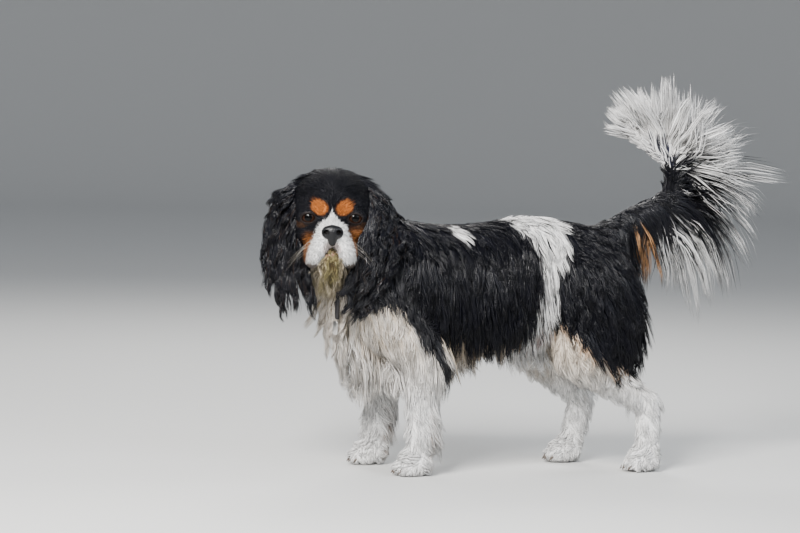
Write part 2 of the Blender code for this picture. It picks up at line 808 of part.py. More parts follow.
def lock_object(lock, grow=0.0):
    """A lock as a three-sided solid, flat below and ridged above, that tapers to its tip."""
    rings = []
    for i in range(len(lock.half_widths)):
        wide = (lock.half_widths[i] + 2.5 * grow) * lock.across[i]
        deep = (lock.half_depths[i] + 1.5 * grow) * lock.normals[i]
        rings.append([lock.points[i] + way for way in (wide - 0.5 * deep, 1.5 * deep, -wide - 0.5 * deep)])
    tip = lock.points[-1] + 2 * grow * unit(lock.points[-1] - lock.points[-2])
    return loft("lock", rings, Scene.cutters, tip=tip)


def united(objects, name):
    """Several cutters fused into one."""
    first = objects[0]
    first.name = name
    if objects[1:]:
        boolean(first, objects[1:], "UNION")
    return first


def bounds(points, room=0.0):
    return points.min(axis=0) - room, points.max(axis=0) + room


def touching(first, second):
    """Whether two locks are near enough to touch."""
    low, high = bounds(first.points, first.half_widths[1])
    other_low, other_high = bounds(second.points, second.half_widths[1])
    return bool(np.all(low <= other_high) and np.all(other_low <= high))


def dressed(piece, locks, clear_of=(), other_locks=(), planes=None):
    """The piece with its locks fused on, cut clear of the other pieces and locks that they would touch."""
    coat = united([lock_object(lock) for lock in locks], piece.name + " coat")
    if planes:
        boolean(coat, [cell("territory", planes, grow=-GAP / 2)], "INTERSECT")
    for other in clear_of:
        boolean(coat, [grown(other, CUT_ROOM)], "DIFFERENCE")
    close = [other for other in other_locks if any(touching(other, lock) for lock in locks)]
    if close:
        boolean(coat, [united([lock_object(other, GAP) for other in close], "room")], "DIFFERENCE")
    return keep_largest(boolean(piece, [coat], "UNION"))


def spread(line, count):
    """Places at even distances along a line of points."""
    line = np.array(line, float)
    steps = np.linalg.norm(np.diff(line, axis=0), axis=1)
    reached = np.concatenate([[0], np.cumsum(steps)])
    wanted = (np.arange(count) + 0.5) * reached[-1] / count
    return np.stack([np.interp(wanted, reached, line[:, axis]) for axis in range(3)], axis=1)


def arc(centre, radius, start, end, count=5):
    """Points round an upright axis, at angles from the dog's front towards its left."""
    x, y, z = centre
    turns = np.radians(np.linspace(start, end, count))
    return [(x + radius * math.sin(turn), y - radius * math.cos(turn), z) for turn in turns]


# Rows of locks on the body: the line that they start near, their number, length, half width and way, how
# high they lie over the flesh, how far they wave, how much of their way leads off the flesh, and where
# their flat sides face if not away from the flesh.
Row = namedtuple("Row", "line count length width way lift wave stand facing", defaults=(0.0, None))
SIDE_ROWS = [
    Row([(0.092, -0.168, 0.206), (0.098, -0.112, 0.196)], 2, 0.062, 0.0130, (0, 0.10, -1), 0.0020, 0.10),
    Row([(0.100, -0.092, 0.252), (0.095, 0.052, 0.256)], 4, 0.086, 0.0165, (0, 0.16, -1), 0.0015, 0.09),
    Row([(0.098, -0.084, 0.200), (0.097, -0.050, 0.202)], 2, 0.090, 0.0150, (0, 0.12, -1), 0.0030, 0.12),
    Row([(0.096, -0.034, 0.206), (0.092, 0.052, 0.210)], 3, 0.072, 0.0155, (0, 0.12, -1), 0.0030, 0.12),
    Row([(0.095, 0.088, 0.238), (0.090, 0.165, 0.240)], 3, 0.080, 0.0145, (0, 0.16, -1), 0.0020, 0.10),
    Row([(0.095, 0.086, 0.196), (0.080, 0.190, 0.200)], 4, 0.080, 0.0135, (0, 0.22, -1), 0.0030, 0.12),
    Row([(0.062, 0.215, 0.232), (0.025, 0.220, 0.222)], 2, 0.090, 0.0125, (0, 0.50, -1), 0.0040, 0.12, 0.5),
]
FRONT_ROWS = [
    Row(arc((0.012, -0.175, 0.262), 0.080, -72, 84), 6, 0.054, 0.0125, (0, -0.30, -1), 0.0030, 0.14),
    Row(arc((0, -0.160, 0.232), 0.090, -70, 70), 7, 0.064, 0.0130, (0, -0.20, -1), 0.0050, 0.14),
    Row(arc((0, -0.160, 0.196), 0.090, -62, 62), 6, 0.092, 0.0130, (0, -0.10, -1), 0.0060, 0.14, 0.4),
]
BELLY_ROWS = [
    Row([(0.004, 0.020, 0.163), (-0.004, 0.052, 0.168)], 2, 0.046, 0.0115, (0, -0.08, -1), 0.0020, 0.10, 1.0, (1, 0, 0)),
]
FEATHER_LENGTH, FEATHER_WIDTH = 0.056, 0.0105


def leg_rows(side):
    """The feathering down the back of a fore leg."""
    x, leg = FORE_STANCE_X * SIDES[side], FORE_LEGS[side]
    top, low = leg["elbow"][0] + 0.040, leg["wrist"][0] + 0.030
    line = [(1.05 * x, top, 0.136), (x, low, 0.068)]
    way, facing = (0.10 * SIDES[side], 0.80, -1), (SIDES[side], 0, 0)
    return [Row(line, 5, FEATHER_LENGTH, FEATHER_WIDTH, way, 0.002, 0.10, 1.0, facing)]


def mirrored_row(row):
    line = [(-x, y, z) for x, y, z in row.line]
    return row._replace(line=line, way=(-row.way[0], *row.way[1:]))


def body_locks(rng):
    """All the locks of the body, each under the name of the piece that its root lies in."""
    rows = SIDE_ROWS + [mirrored_row(row) for row in SIDE_ROWS] + FRONT_ROWS + BELLY_ROWS
    for side in SIDES:
        rows += leg_rows(side)
    cells, found = all_cells(), {}
    for row in rows:
        roots = pulled(spread(row.line, row.count), coated, 0.0, rounds=12)
        ways = np.tile(np.array(row.way, float), (row.count, 1))
        normals = unit(slope_of(coated, roots))
        ways = ways - (1 - row.stand) * (ways * normals).sum(axis=1)[:, None] * normals
        locks = comb(roots, ways, row.length, row.width, rng, row.lift, wave=row.wave, facing=row.facing)
        for root, lock in zip(roots, locks):
            found.setdefault(owner(root, cells), []).append(lock)
    return found


def owner(point, cells):
    """The name of the piece that a point on the flesh lies in."""
    for name, planes in cells.items():
        if all((Vector(point) - Vector(spot)).dot(Vector(away).normalized()) < 0 for spot, away in planes):
            return name
    return "torso"


# How long the plume is at each point of the tail's line.
PLUME_LENGTHS = [0.070, 0.116, 0.138, 0.130, 0.122, 0.102, 0.086, 0.076]
PLUME_WIDTH = 0.0145
PLUME_SHAPE = [(0.55, 1.0), (1.0, 0.9), (0.84, 0.7)]
PLUME_PLACES = {"tail_base": (0.85, 2.40, 5), "tail_middle": (2.65, 4.35, 5), "tail_tip": (4.66, 7.0, 6)}
PLUME_SPLAY = 0.24


def plume_locks(name, rng):
    """The long coat of one length of the tail, fanned out from its outer side in two files."""
    first, last, count = PLUME_PLACES[name]
    marks = np.arange(len(TAIL_LINE))
    line = np.array(TAIL_LINE)
    locks = []
    for k, mark in enumerate(np.linspace(first, last, count)):
        y, z, radius = (np.interp(mark, marks, line[:, axis]) for axis in range(3))
        lie = math.radians(np.interp(mark, marks, TAIL_LIE))
        length = np.interp(mark, marks, PLUME_LENGTHS)
        for side in (-1, 1):
            way = np.array((side * PLUME_SPLAY * (0.6 + 0.8 * (k % 2)), math.cos(lie), math.sin(lie)))
            root = np.array((side * 0.35 * radius, y, z)) + 0.4 * radius * way
            locks += comb([root], [way], length, PLUME_WIDTH, rng, lift=-1, droop=0.22, wave=0.09, sink=0,
                          shape=PLUME_SHAPE, facing=(side, 0.2 * rng.uniform(-1, 1), 0.2 * rng.uniform(-1, 1)))
    return locks


# Rows of locks down each ear: the place along the flap, their number and length.
EAR_ROWS = [(1.5, 3, 0.070), (2.9, 4, 0.074), (4.2, 4, 0.074)]
EAR_LOCK_WIDTH = 0.0120


def ear_locks(side, rng):
    """Wavy locks that hang from the flap of an ear and past its end."""
    points, ways, across, normals = ear_frame(side)
    marks = np.arange(len(points))
    half_widths = [half_width for _, half_width, _ in EAR_FLAP]
    locks = []
    for mark, count, length in EAR_ROWS:
        at = [np.interp(mark, marks, table[:, axis]) for table in (points, ways, across, normals) for axis in range(3)]
        middle, way, wide, out = np.array(at).reshape(4, 3)
        room = np.interp(mark, marks, half_widths)
        lower = np.array([np.interp(mark + 0.9, marks, ways[:, axis]) for axis in range(3)])
        for share in np.linspace(-0.85, 0.85, count):
            root = middle + share * room * wide + 0.001 * out
            start = lower + 0.15 * share * wide + 0.06 * out
            locks += comb([root], [start], length, EAR_LOCK_WIDTH, rng, lift=EAR_ROOM, droop=0.6, wave=0.22,
                          sink=0, facing=out + 0.3 * share * wide)
    return locks


# ---------------------------------------------------------------- collar, claws and colours

COLLAR_WIDTH = 0.012
COLLAR_SIDES = 20
COLLAR_DEPTH = 0.0032
COLLAR_RISE = 0.0010  # how far it stands out of the short coat
COLLAR_PLACE = Vector((0, -0.230, 0.225))  # its lowest point, on the chest
COLLAR_AXIS = Vector((0, -0.700, 0.714))
STRAP_SIZE = (0.0080, 0.0028, 0.026)
TAG_SIZE = (0.0120, 0.0022, 0.028)


def neck_rim(offset, height):
    """Points round the neck in a plane beside the collar's middle, at a height over the short coat."""
    across, upward = Vector((1, 0, 0)), COLLAR_AXIS.cross(Vector((1, 0, 0)))
    turns = np.arange(COLLAR_SIDES) * 2 * math.pi / COLLAR_SIDES
    rays = np.outer(np.cos(turns), across) + np.outer(np.sin(turns), upward)
    middle = np.array(COLLAR_PLACE + 0.066 * upward + offset * COLLAR_AXIS)
    reach = np.full(COLLAR_SIDES, 0.12)
    for _ in range(30):
        reach = reach - 0.7 * coated(middle + reach[:, None] * rays)
    return middle + (reach + height)[:, None] * rays


def band(name, half_width, inner, outer, collection=None):
    """A closed ring round the neck between two heights over the short coat."""
    rims = [
        neck_rim(half_width, inner),
        neck_rim(half_width, outer),
        neck_rim(-half_width, outer),
        neck_rim(-half_width, inner),
    ]
    bm = bmesh.new()
    loops = [[bm.verts.new(point) for point in rim] for rim in rims]
    for near, far in zip(loops, loops[1:] + loops[:1]):
        for i in range(COLLAR_SIDES):
            j = (i + 1) % COLLAR_SIDES
            bm.faces.new((near[i], near[j], far[j], far[i]))
    bmesh.ops.recalc_face_normals(bm, faces=bm.faces)
    bmesh.ops.triangulate(bm, faces=bm.faces)
    mesh = bpy.data.meshes.new(name)
    bm.to_mesh(mesh)
    bm.free()
    return new_object(name, mesh, collection)


def collar(neck_piece):
    """A band round the neck, under the long coat, let into the short coat below it."""
    half_width, inner = COLLAR_WIDTH / 2, COLLAR_RISE - COLLAR_DEPTH
    room = band("collar room", half_width + GAP, inner - GAP, 0.006, Scene.cutters)
    keep_largest(boolean(neck_piece, [room], "DIFFERENCE"))
    return band("collar", half_width, inner, COLLAR_RISE)


def plate(name, size, place, bevel):
    """A small plate with rounded corners."""
    bm = bmesh.new()
    bmesh.ops.create_cube(bm, size=1, matrix=place @ Matrix.Diagonal((*size, 1)))
    corners = [edge for edge in bm.edges if edge.calc_length() < 1.5 * min(size)]
    bmesh.ops.bevel(bm, geom=corners, offset=bevel, segments=3, affect="EDGES", profile=0.5)
    bmesh.ops.triangulate(bm, faces=bm.faces)
    mesh = bpy.data.meshes.new(name)
    bm.to_mesh(mesh)
    bm.free()
    return new_object(name, mesh)


STRAP_NEAR = (0.053, -0.233, 0.212)  # the strap's end lies over the flesh nearest to this
STRAP_RISE = 0.0120  # and among the locks there, this high
HANG_TURN = 35.0


def strap_and_tag():
    """The loose end of the collar's strap, and the tag that hangs below it."""
    near = np.array([STRAP_NEAR])
    place = Vector(pulled(near, lambda points: coated(points) - STRAP_RISE, 0.0, rounds=12)[0])
    turn = Matrix.Rotation(math.radians(HANG_TURN), 4, "Z")
    strap = plate("collar_strap_end", STRAP_SIZE, Matrix.Translation(place) @ turn, 0.0010)
    hang = Vector((0, -0.002, -(STRAP_SIZE[2] + TAG_SIZE[2]) / 2 - GAP))
    tag = plate("collar_tag", TAG_SIZE, Matrix.Translation(place + hang) @ turn, 0.0008)
    return strap, tag


# The paws with claws: their claws' name, their piece, the legs that end in them and their stance.
PAWS = [("fore", "fore_paw", FORE_LEGS, FORE_STANCE_X), ("hind", "hind_foot", HIND_LEGS, HIND_STANCE_X)]


def claws(side, kind, leg, x):
    """The four claws of a paw."""
    made = []
    for index, share in enumerate(TOES):
        root = Vector((x + TOE_SPREAD * share, toe_y(leg["paw"], share) - 0.0085, 0.0100))
        way = Vector((0.10 * share, -0.80, -0.60)).normalized()
        bm = bmesh.new()
        turn = way.to_track_quat("Z", "Y").to_matrix().to_4x4()
        place = Matrix.Translation(root + 0.0045 * way) @ turn
        bmesh.ops.create_cone(bm, cap_ends=True, segments=5, radius1=0.0019, radius2=0.0005, depth=0.0090,
                              matrix=place)
        bmesh.ops.triangulate(bm, faces=bm.faces)
        mesh = bpy.data.meshes.new("claw")
        bm.to_mesh(mesh)
        bm.free()
        made.append(new_object(f"claw_{kind}_{side}_{index + 1}", mesh))
    return made


BLACK_COAT = (0.020, 0.020, 0.024, 1)
WHITE_COAT = (0.780, 0.740, 0.660, 1)
COLOURS = {
    "eye": ((0.030, 0.015, 0.008, 1), 0.05, 0),
    "nose": ((0.012, 0.012, 0.013, 1), 0.35, 0),
    "claw": ((0.120, 0.100, 0.080, 1), 0.40, 0),
    "collar": ((0.030, 0.028, 0.030, 1), 0.60, 0),
    "collar_tag": ((0.700, 0.700, 0.680, 1), 0.30, 1),
    "fore": (WHITE_COAT, 0.60, 0),
    "hind_foot": (WHITE_COAT, 0.60, 0),
    "lower_jaw": (WHITE_COAT, 0.60, 0),
    "neck": (WHITE_COAT, 0.60, 0),
    "shank": (WHITE_COAT, 0.60, 0),
    "tail_tip": (WHITE_COAT, 0.60, 0),
}


def centre():
    """Moves all the pieces so that the middle of the dog's box is over the origin, and its paws on the floor."""
    points = np.array([vert.co for obj in Scene.dog.objects for vert in obj.data.vertices])
    low, high = points.min(axis=0), points.max(axis=0)
    move = Matrix.Translation((-(low[0] + high[0]) / 2, -(low[1] + high[1]) / 2, -low[2]))
    for obj in Scene.dog.objects:
        obj.data.transform(move)


def paint():
    """Each piece's own material, by the longest name in the table that its name starts with."""
    for obj in Scene.dog.objects:
        fitting = [key for key in COLOURS if obj.name.startswith(key)]
        colour, roughness, metallic = COLOURS[max(fitting, key=len)] if fitting else (BLACK_COAT, 0.5, 0)
        material = bpy.data.materials.new(obj.name)
        material.use_nodes = True
        shader = material.node_tree.nodes["Principled BSDF"]
        shader.inputs["Base Color"].default_value = colour
        shader.inputs["Roughness"].default_value = roughness
        shader.inputs["Metallic"].default_value = metallic
        material.diffuse_color = colour
        obj.data.materials.clear()
        obj.data.materials.append(material)
        for polygon in obj.data.polygons:
            polygon.material_index = 0
        obj.data.shade_smooth()
        obj.data.set_sharp_from_angle(angle=math.radians(50))


# What the locks of each piece are cut clear of, besides the locks that were made before them.
CLEAR_OF = {
    "ear_left": ["head", "neck", "torso", "collar"],
    "ear_right": ["head", "neck", "torso", "collar"],
    "neck": ["collar", "head", "lower_jaw", "torso", "fore_leg_left", "fore_leg_right", "ear_left", "ear_right"],
    "torso": ["neck", "ear_left", "ear_right", "thigh_left", "thigh_right", "fore_leg_left", "fore_leg_right",
              "tail_base"],
    "fore_leg_left": ["torso", "fore_paw_left", "fore_leg_right"],
    "fore_leg_right": ["torso", "fore_paw_right", "fore_leg_left"],
    "thigh_left": ["torso", "shank_left", "hind_foot_left", "tail_base"],
    "thigh_right": ["torso", "shank_right", "hind_foot_right", "tail_base"],
    "tail_base": ["torso", "thigh_left", "thigh_right"],
    "tail_middle": [],
    "tail_tip": [],
}
HUNG = ["collar_strap_end", "collar_tag"]  # what hangs on the chest, for the locks there to clear


def bare_pieces():
    """Every piece of the dog but its ears, with no locks yet, by name."""
    pieces = part_flesh(flesh("whole", BODY_FORMS + SKULL_FORMS, coated, NODE_STEP, FLESH_TRIANGLES))
    drop(pieces.pop("head"))
    pieces["nose"] = nose()
    pieces["lower_jaw"] = lower_jaw()
    pieces["head"] = head(pieces["nose"], pieces["lower_jaw"])
    pieces["collar"] = collar(pieces["neck"])
    for piece in strap_and_tag():
        cutters = [grown(pieces[other], GAP) for other in ("collar", "neck", "torso")]
        for cutter in cutters:
            boolean(piece, [cutter], "DIFFERENCE")
        pieces[piece.name] = keep_largest(piece)
    for side in SIDES:
        eye(side)
        for kind, paw, legs, x in PAWS:
            rooms = [grown(claw, GAP) for claw in claws(side, kind, legs[side], x * SIDES[side])]
            keep_largest(boolean(pieces[f"{paw}_{side}"], rooms, "DIFFERENCE"))
    return pieces


def dress(pieces):
    """Adds the ears and all the locks."""
    rng = random.Random(SEED)
    bare = {name: copy_of(piece, name + " flesh", Scene.cutters) for name, piece in pieces.items()}
    locks = {}
    for side in SIDES:
        name = f"ear_{side}"
        flap = ear_flap(side)
        for other in CLEAR_OF[name]:
            boolean(flap, [grown(bare[other], CUT_ROOM)], "DIFFERENCE")
        pieces[name] = keep_largest(flap)
        bare[name] = ear_flap(side, grow=GAP)
        locks[name] = ear_locks(side, rng)
    locks.update(body_locks(rng))
    for name in PLUME_PLACES:
        locks[name] = plume_locks(name, rng)
    territories, done = tail_cells(), []
    for name, around in CLEAR_OF.items():
        clear = [bare[other] for other in around]
        if name in ("neck", "torso"):
            clear += [pieces[other] for other in HUNG]
        before = done if name != "tail_middle" and name != "tail_tip" else []
        dressed(pieces[name], locks[name], clear, before, territories.get(name))
        done = done + locks[name]


def main():
    start_scene()
    dress(bare_pieces())
    for guide in list(Scene.cutters.objects):
        drop(guide)
    centre()
    paint()


main()
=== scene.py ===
# %% [markdown]
# # A life-size model of a tricolour spaniel
#
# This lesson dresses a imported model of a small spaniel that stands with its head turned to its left. The
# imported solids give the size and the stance. The looks are made here: one skin, a coat of solid tufts that
# are combed over it, eyes, nose, claws and whiskers, and what the dog wears.
#
# Every shape is worked out with numpy as whole arrays, and every material is built from nodes. All lengths
# are in metres. The dog faces -Y, +X is its left side and +Z is up.

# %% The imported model
import json
import math
from collections import namedtuple

import bpy
import numpy as np
from mathutils import Euler, Matrix, Vector

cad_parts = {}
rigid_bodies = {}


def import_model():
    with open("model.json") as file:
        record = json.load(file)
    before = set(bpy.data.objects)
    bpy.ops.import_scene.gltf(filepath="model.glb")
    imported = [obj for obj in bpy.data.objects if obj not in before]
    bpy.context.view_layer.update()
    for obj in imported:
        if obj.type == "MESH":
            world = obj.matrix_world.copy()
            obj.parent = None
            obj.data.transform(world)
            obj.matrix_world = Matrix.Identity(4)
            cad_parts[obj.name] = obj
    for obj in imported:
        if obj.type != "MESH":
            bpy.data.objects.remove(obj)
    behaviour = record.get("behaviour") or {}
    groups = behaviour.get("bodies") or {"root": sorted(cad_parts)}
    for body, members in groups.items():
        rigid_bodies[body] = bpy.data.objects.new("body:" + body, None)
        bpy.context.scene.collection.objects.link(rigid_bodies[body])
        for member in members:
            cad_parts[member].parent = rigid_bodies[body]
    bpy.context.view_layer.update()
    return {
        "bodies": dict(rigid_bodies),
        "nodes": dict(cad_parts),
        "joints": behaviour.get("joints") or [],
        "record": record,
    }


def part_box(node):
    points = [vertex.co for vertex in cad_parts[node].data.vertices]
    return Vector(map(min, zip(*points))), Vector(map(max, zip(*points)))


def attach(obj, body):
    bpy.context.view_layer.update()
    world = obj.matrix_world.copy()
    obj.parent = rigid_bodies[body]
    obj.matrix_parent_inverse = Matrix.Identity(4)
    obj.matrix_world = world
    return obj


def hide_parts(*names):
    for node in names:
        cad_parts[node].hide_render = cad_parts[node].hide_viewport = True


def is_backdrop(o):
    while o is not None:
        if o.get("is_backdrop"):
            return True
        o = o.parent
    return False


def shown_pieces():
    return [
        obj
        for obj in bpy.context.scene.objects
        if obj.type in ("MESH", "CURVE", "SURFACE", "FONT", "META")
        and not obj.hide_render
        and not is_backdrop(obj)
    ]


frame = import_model()
print("solids:", len(frame["nodes"]), "nodes")

# %% [markdown]
# ## Small helpers
#
# A direction is an array row of length one. A number that changes smoothly from 0 to 1 along something is
# made with `ramp`, and a blend of two arrays with `mixed`. Natural things are never quite regular, so
# `ripple` gives a soft unevenness: a few crossed sine waves, the same in every run.

# %% Directions, ramps and ripples
rng = np.random.default_rng(20)  # one stream of random numbers, the same in every run


def unit(rows):
    """Rows scaled to length one."""
    return rows / np.maximum(np.linalg.norm(rows, axis=-1, keepdims=True), 1e-9)


def laid_down(ways, normals, share=1.0):
    """Directions without that share of their part along the normals."""
    return ways - share * (ways * normals).sum(axis=1)[:, None] * normals


def ramp(value, start, end):
    """0 before start, 1 after end, with soft ends: 3t^2 - 2t^3."""
    share = np.clip((value - start) / (end - start), 0, 1)
    return share * share * (3 - 2 * share)


def mixed(first, second, share):
    """first where share is 0, second where it is 1. Rows of three numbers take one share a row."""
    share = np.asarray(share)
    if share.ndim and 3 in (*np.shape(first)[-1:], *np.shape(second)[-1:]):
        share = share[..., None]
    return first + (second - first) * share


def ripple(points, size, seed=0.0):
    """Crossed sine waves of about that wavelength, between -1 and 1."""
    x, y, z = (np.asarray(points) * (2 * math.pi / size)).T
    waves = np.sin(x + 1.3 * y + seed) * np.cos(0.9 * z - 0.7 * y + 2 * seed)
    finer = np.sin(2.3 * y + 1.9 * z - 3 * seed) * np.cos(2.1 * x - 0.8 * z + seed)
    return 0.6 * waves + 0.4 * finer


def columns(*values):
    """Arrays or numbers side by side as rows of a table."""
    return np.stack(np.broadcast_arrays(*values), axis=-1).astype(float)


def circle(count):
    """Angles in equal steps round a full turn."""
    return np.arange(count) * 2 * math.pi / count


print("a ramp from 0 to 1:", ramp(np.linspace(0, 1, 5), 0, 1).round(2))

# %% [markdown]
# ## The body as balls and limbs
#
# Flesh has no edges: a thigh swells out of the flank and a cheek out of the muzzle. A good way to describe
# that is a *distance field*. Each form, an ellipsoid or a chain of round cones, tells how far a point is
# outside it, and two forms are blended with a smooth minimum that fills the crease between them. The same
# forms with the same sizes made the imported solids, so the skin lies just inside them.

# %% Driving sizes
BACK_HEIGHT = 0.317  # floor to the skin of the back
CHEST_FLOOR = 0.15  # floor to the skin of the brisket
CHEST_HALF_WIDTH = 0.07
CHEST_FRONT_Y = -0.224
RUMP_Y = 0.176
FORE_STANCE_X = 0.057  # middle line of the body to each fore leg
HIND_STANCE_X = 0.05
HEAD_CENTRE = (0.0237, -0.2332, 0.329)  # between the ears, at the height of the eyes
HEAD_TURN = 78.0  # degrees to the dog's left
EYE_RADIUS, LID_THICK = 0.011, 0.0022
EYE_PLACE = (0.0285, -0.0355, 0.0)  # the left eye, in the head's own frame
NOSE_PLACE = (0.0, -0.08, -0.0152)

BODY = Matrix.Identity(4)
HEAD = Matrix.Translation(HEAD_CENTRE) @ Matrix.Rotation(math.radians(HEAD_TURN), 4, "Z")
SIDES = {"left": 1, "right": -1}

# The solids were moved to stand over the origin. The left eye tells how far.
eye_middle = np.mean(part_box("eye_left"), axis=0)
SHIFT = eye_middle - np.array(HEAD @ Vector(EYE_PLACE))
print("moved by", SHIFT.round(4))

# %% Balls, limbs and how they melt together
Ball = namedtuple("Ball", "place radii melt")
Limb = namedtuple("Limb", "points radii melt")


def ball(centre, radii, turn=(0, 0, 0), melt=0.02, frame=BODY):
    """An ellipsoid with those half-sizes, turned by those degrees, in the body's or the head's frame."""
    rotation = Euler([math.radians(angle) for angle in turn])
    place = np.array(frame @ Matrix.LocRotScale(Vector(centre), rotation, None))
    return Ball(place, np.array(radii, float), melt)


def ball_pair(centre, radii, turn=(0, 0, 0), **rest):
    """The same ball on both sides of the middle plane of its frame."""
    x, y, z = centre
    tilt, lean, spin = turn
    return [ball((sign * x, y, z), radii, turn=(tilt, sign * lean, sign * spin), **rest)
            for sign in SIDES.values()]


def limb(points, radii, melt=0.014, frame=BODY):
    """A chain of round cones through those points."""
    return Limb([np.array(frame @ Vector(point)) for point in points], list(radii), melt)


def distance(form, points):
    """How far each point is outside a form.

    For an ellipsoid it is k(k - 1) / |grad k|, where k is the distance from its middle counted in radii.
    For a limb it is the distance to the nearest place of its line, less the radius there.
    """
    if isinstance(form, Ball):
        local = (points - form.place[:3, 3]) @ form.place[:3, :3]
        share = np.linalg.norm(local / form.radii, axis=1)
        slope = np.linalg.norm(local / form.radii**2, axis=1)
        return share * (share - 1) / np.maximum(slope, 1e-9)
    found = np.full(len(points), np.inf)
    for start, end, first, last in zip(form.points[:-1], form.points[1:], form.radii[:-1], form.radii[1:]):
        run = end - start
        along = np.clip((points - start) @ run / (run @ run), 0, 1)
        near = np.linalg.norm(points - start - along[:, None] * run, axis=1)
        found = np.minimum(found, near - (first + along * (last - first)))
    return found


def melted_in(whole, other, melt):
    """The smooth minimum of two fields, which fills the crease between them over that length."""
    share = np.clip(0.5 + 0.5 * (other - whole) / melt, 0, 1)
    return other + (whole - other) * share - melt * share * (1 - share)


def melted(forms, points):
    """The distance to forms that are melted together, one after another."""
    whole = distance(forms[0], points)
    for form in forms[1:]:
        whole = melted_in(whole, distance(form, points), form.melt)
    return whole


print("beside a ball of 10 mm:", distance(ball((0, 0, 0), (0.01,) * 3), np.eye(3) * 0.015))

# %% Trunk, neck and legs
# Each joint as (y, z), and the middle of the hip and of the paw as y.
FORE_LEGS = {
    "left": {"elbow": (-0.112, 0.15), "wrist": (-0.116, 0.055), "pastern": (-0.119, 0.03), "paw": -0.125},
    "right": {"elbow": (-0.13, 0.15), "wrist": (-0.147, 0.055), "pastern": (-0.149, 0.03), "paw": -0.155},
}
HIND_LEGS = {
    "left": {
        "hip": 0.118, "knee": (0.09, 0.152), "hock": (0.19, 0.09), "foot": (0.191, 0.034), "paw": 0.186},
    "right": {
        "hip": 0.106, "knee": (0.062, 0.152), "hock": (0.132, 0.088), "foot": (0.121, 0.034), "paw": 0.111},
}
TOE_SPREAD = 0.012  # middle of the paw to the middle of an outer toe
TOE_RADIUS = 0.008
TOES = (-1, -1 / 3, 1 / 3, 1)  # places across the paw


def trunk_forms():
    """Rib cage, breast, loin, belly, rump, shoulders and neck, and the small tuft's ground below."""
    depth = BACK_HEIGHT - CHEST_FLOOR
    return [
        ball((0, -0.085, CHEST_FLOOR + depth / 2), (CHEST_HALF_WIDTH, 0.12, depth / 2)),
        ball((0, CHEST_FRONT_Y + 0.056, 0.218), (0.056, 0.056, 0.064)),
        ball((0, 0.038, BACK_HEIGHT - 0.052), (0.058, 0.1, 0.064), melt=0.036),
        ball((0, -0.02, 0.212), (0.056, 0.1, 0.054), melt=0.03),
        ball((0, RUMP_Y - 0.062, BACK_HEIGHT - 0.069), (0.056, 0.066, 0.062), melt=0.03),
        *ball_pair((0.033, -0.125, 0.254), (0.036, 0.058, 0.058), melt=0.03),
        neck_form(),
        ball((0, 0.036, 0.176), (0.012, 0.034, 0.014), turn=(-14, 0, 0), melt=0.014),
    ]


def neck_form():
    """The neck rises from between the shoulders into the back of the head."""
    points = [(0, -0.148, 0.254), (0.002, -0.184, 0.284), (0.006, -0.214, 0.32)]
    return limb(points, (0.058, 0.053, 0.047), melt=0.03)


def toe_y(paw_y, share):
    """How far forward a toe stands: the inner two lead."""
    return paw_y - 0.0165 + 0.0055 * share**2


def paw_forms(x, y):
    """The pad of a paw and its four toes."""
    forms = [ball((x, y, 0.0165), (0.0175, 0.021, 0.015), melt=0.008)]
    for share in TOES:
        toe = (x + TOE_SPREAD * share, toe_y(y, share), 0.0105)
        forms.append(ball(toe, (TOE_RADIUS * 0.8, 0.01, TOE_RADIUS), melt=0.0025))
    return forms


def fore_leg_forms(side):
    """Upper arm, forearm, pastern and paw. The forearm leans in a little."""
    x, leg = FORE_STANCE_X * SIDES[side], FORE_LEGS[side]
    inner = 0.92 * x
    elbow_y, wrist_y = leg["elbow"][0], leg["wrist"][0]
    shoulder = (0.84 * x, elbow_y - 0.062, 0.214)
    arm = [shoulder, (x, elbow_y - 0.022, 0.176), (x, *leg["elbow"])]
    forearm = [(x, *leg["elbow"]), (inner, (elbow_y + wrist_y) / 2 - 0.002, 0.104), (x, *leg["wrist"])]
    pastern = [(x, *leg["wrist"]), (x, *leg["pastern"]), (x, leg["paw"] + 0.004, 0.02)]
    return [
        limb(arm, (0.034, 0.031, 0.026), melt=0.026),
        limb(forearm, (0.024, 0.0195, 0.0165), melt=0.016),
        limb(pastern, (0.0165, 0.0155, 0.015), melt=0.006),
    ] + paw_forms(x, leg["paw"])


def hind_leg_forms(side):
    """Thigh, knee, shank, and the foot from the hock down to the paw."""
    x, leg = HIND_STANCE_X * SIDES[side], HIND_LEGS[side]
    knee_y, knee_z = leg["knee"]
    hock_y, hock_z = leg["hock"]
    middle = (x, knee_y + 0.48 * (hock_y - knee_y), knee_z + 0.52 * (hock_z - knee_z))
    shank = [(1.06 * x, knee_y + 0.008, knee_z), middle, (x, hock_y - 0.002, hock_z)]
    foot = [(x, hock_y, hock_z), (x, *leg["foot"]), (x, leg["paw"] + 0.004, 0.02)]
    return [
        ball((0.92 * x, leg["hip"], 0.205), (0.034, 0.056, 0.078), turn=(14, 0, 0), melt=0.028),
        ball((1.06 * x, knee_y + 0.006, knee_z + 0.008), (0.026, 0.03, 0.034), melt=0.02),
        limb(shank, (0.027, 0.0205, 0.014), melt=0.016),
        limb(foot, (0.015, 0.0135, 0.014), melt=0.006),
    ] + paw_forms(x, leg["paw"])


TRUNK = trunk_forms()
FORE = {side: fore_leg_forms(side) for side in SIDES}
HIND = {side: hind_leg_forms(side) for side in SIDES}
print("trunk and legs:", len(TRUNK) + sum(len(FORE[side]) + len(HIND[side]) for side in SIDES), "forms")

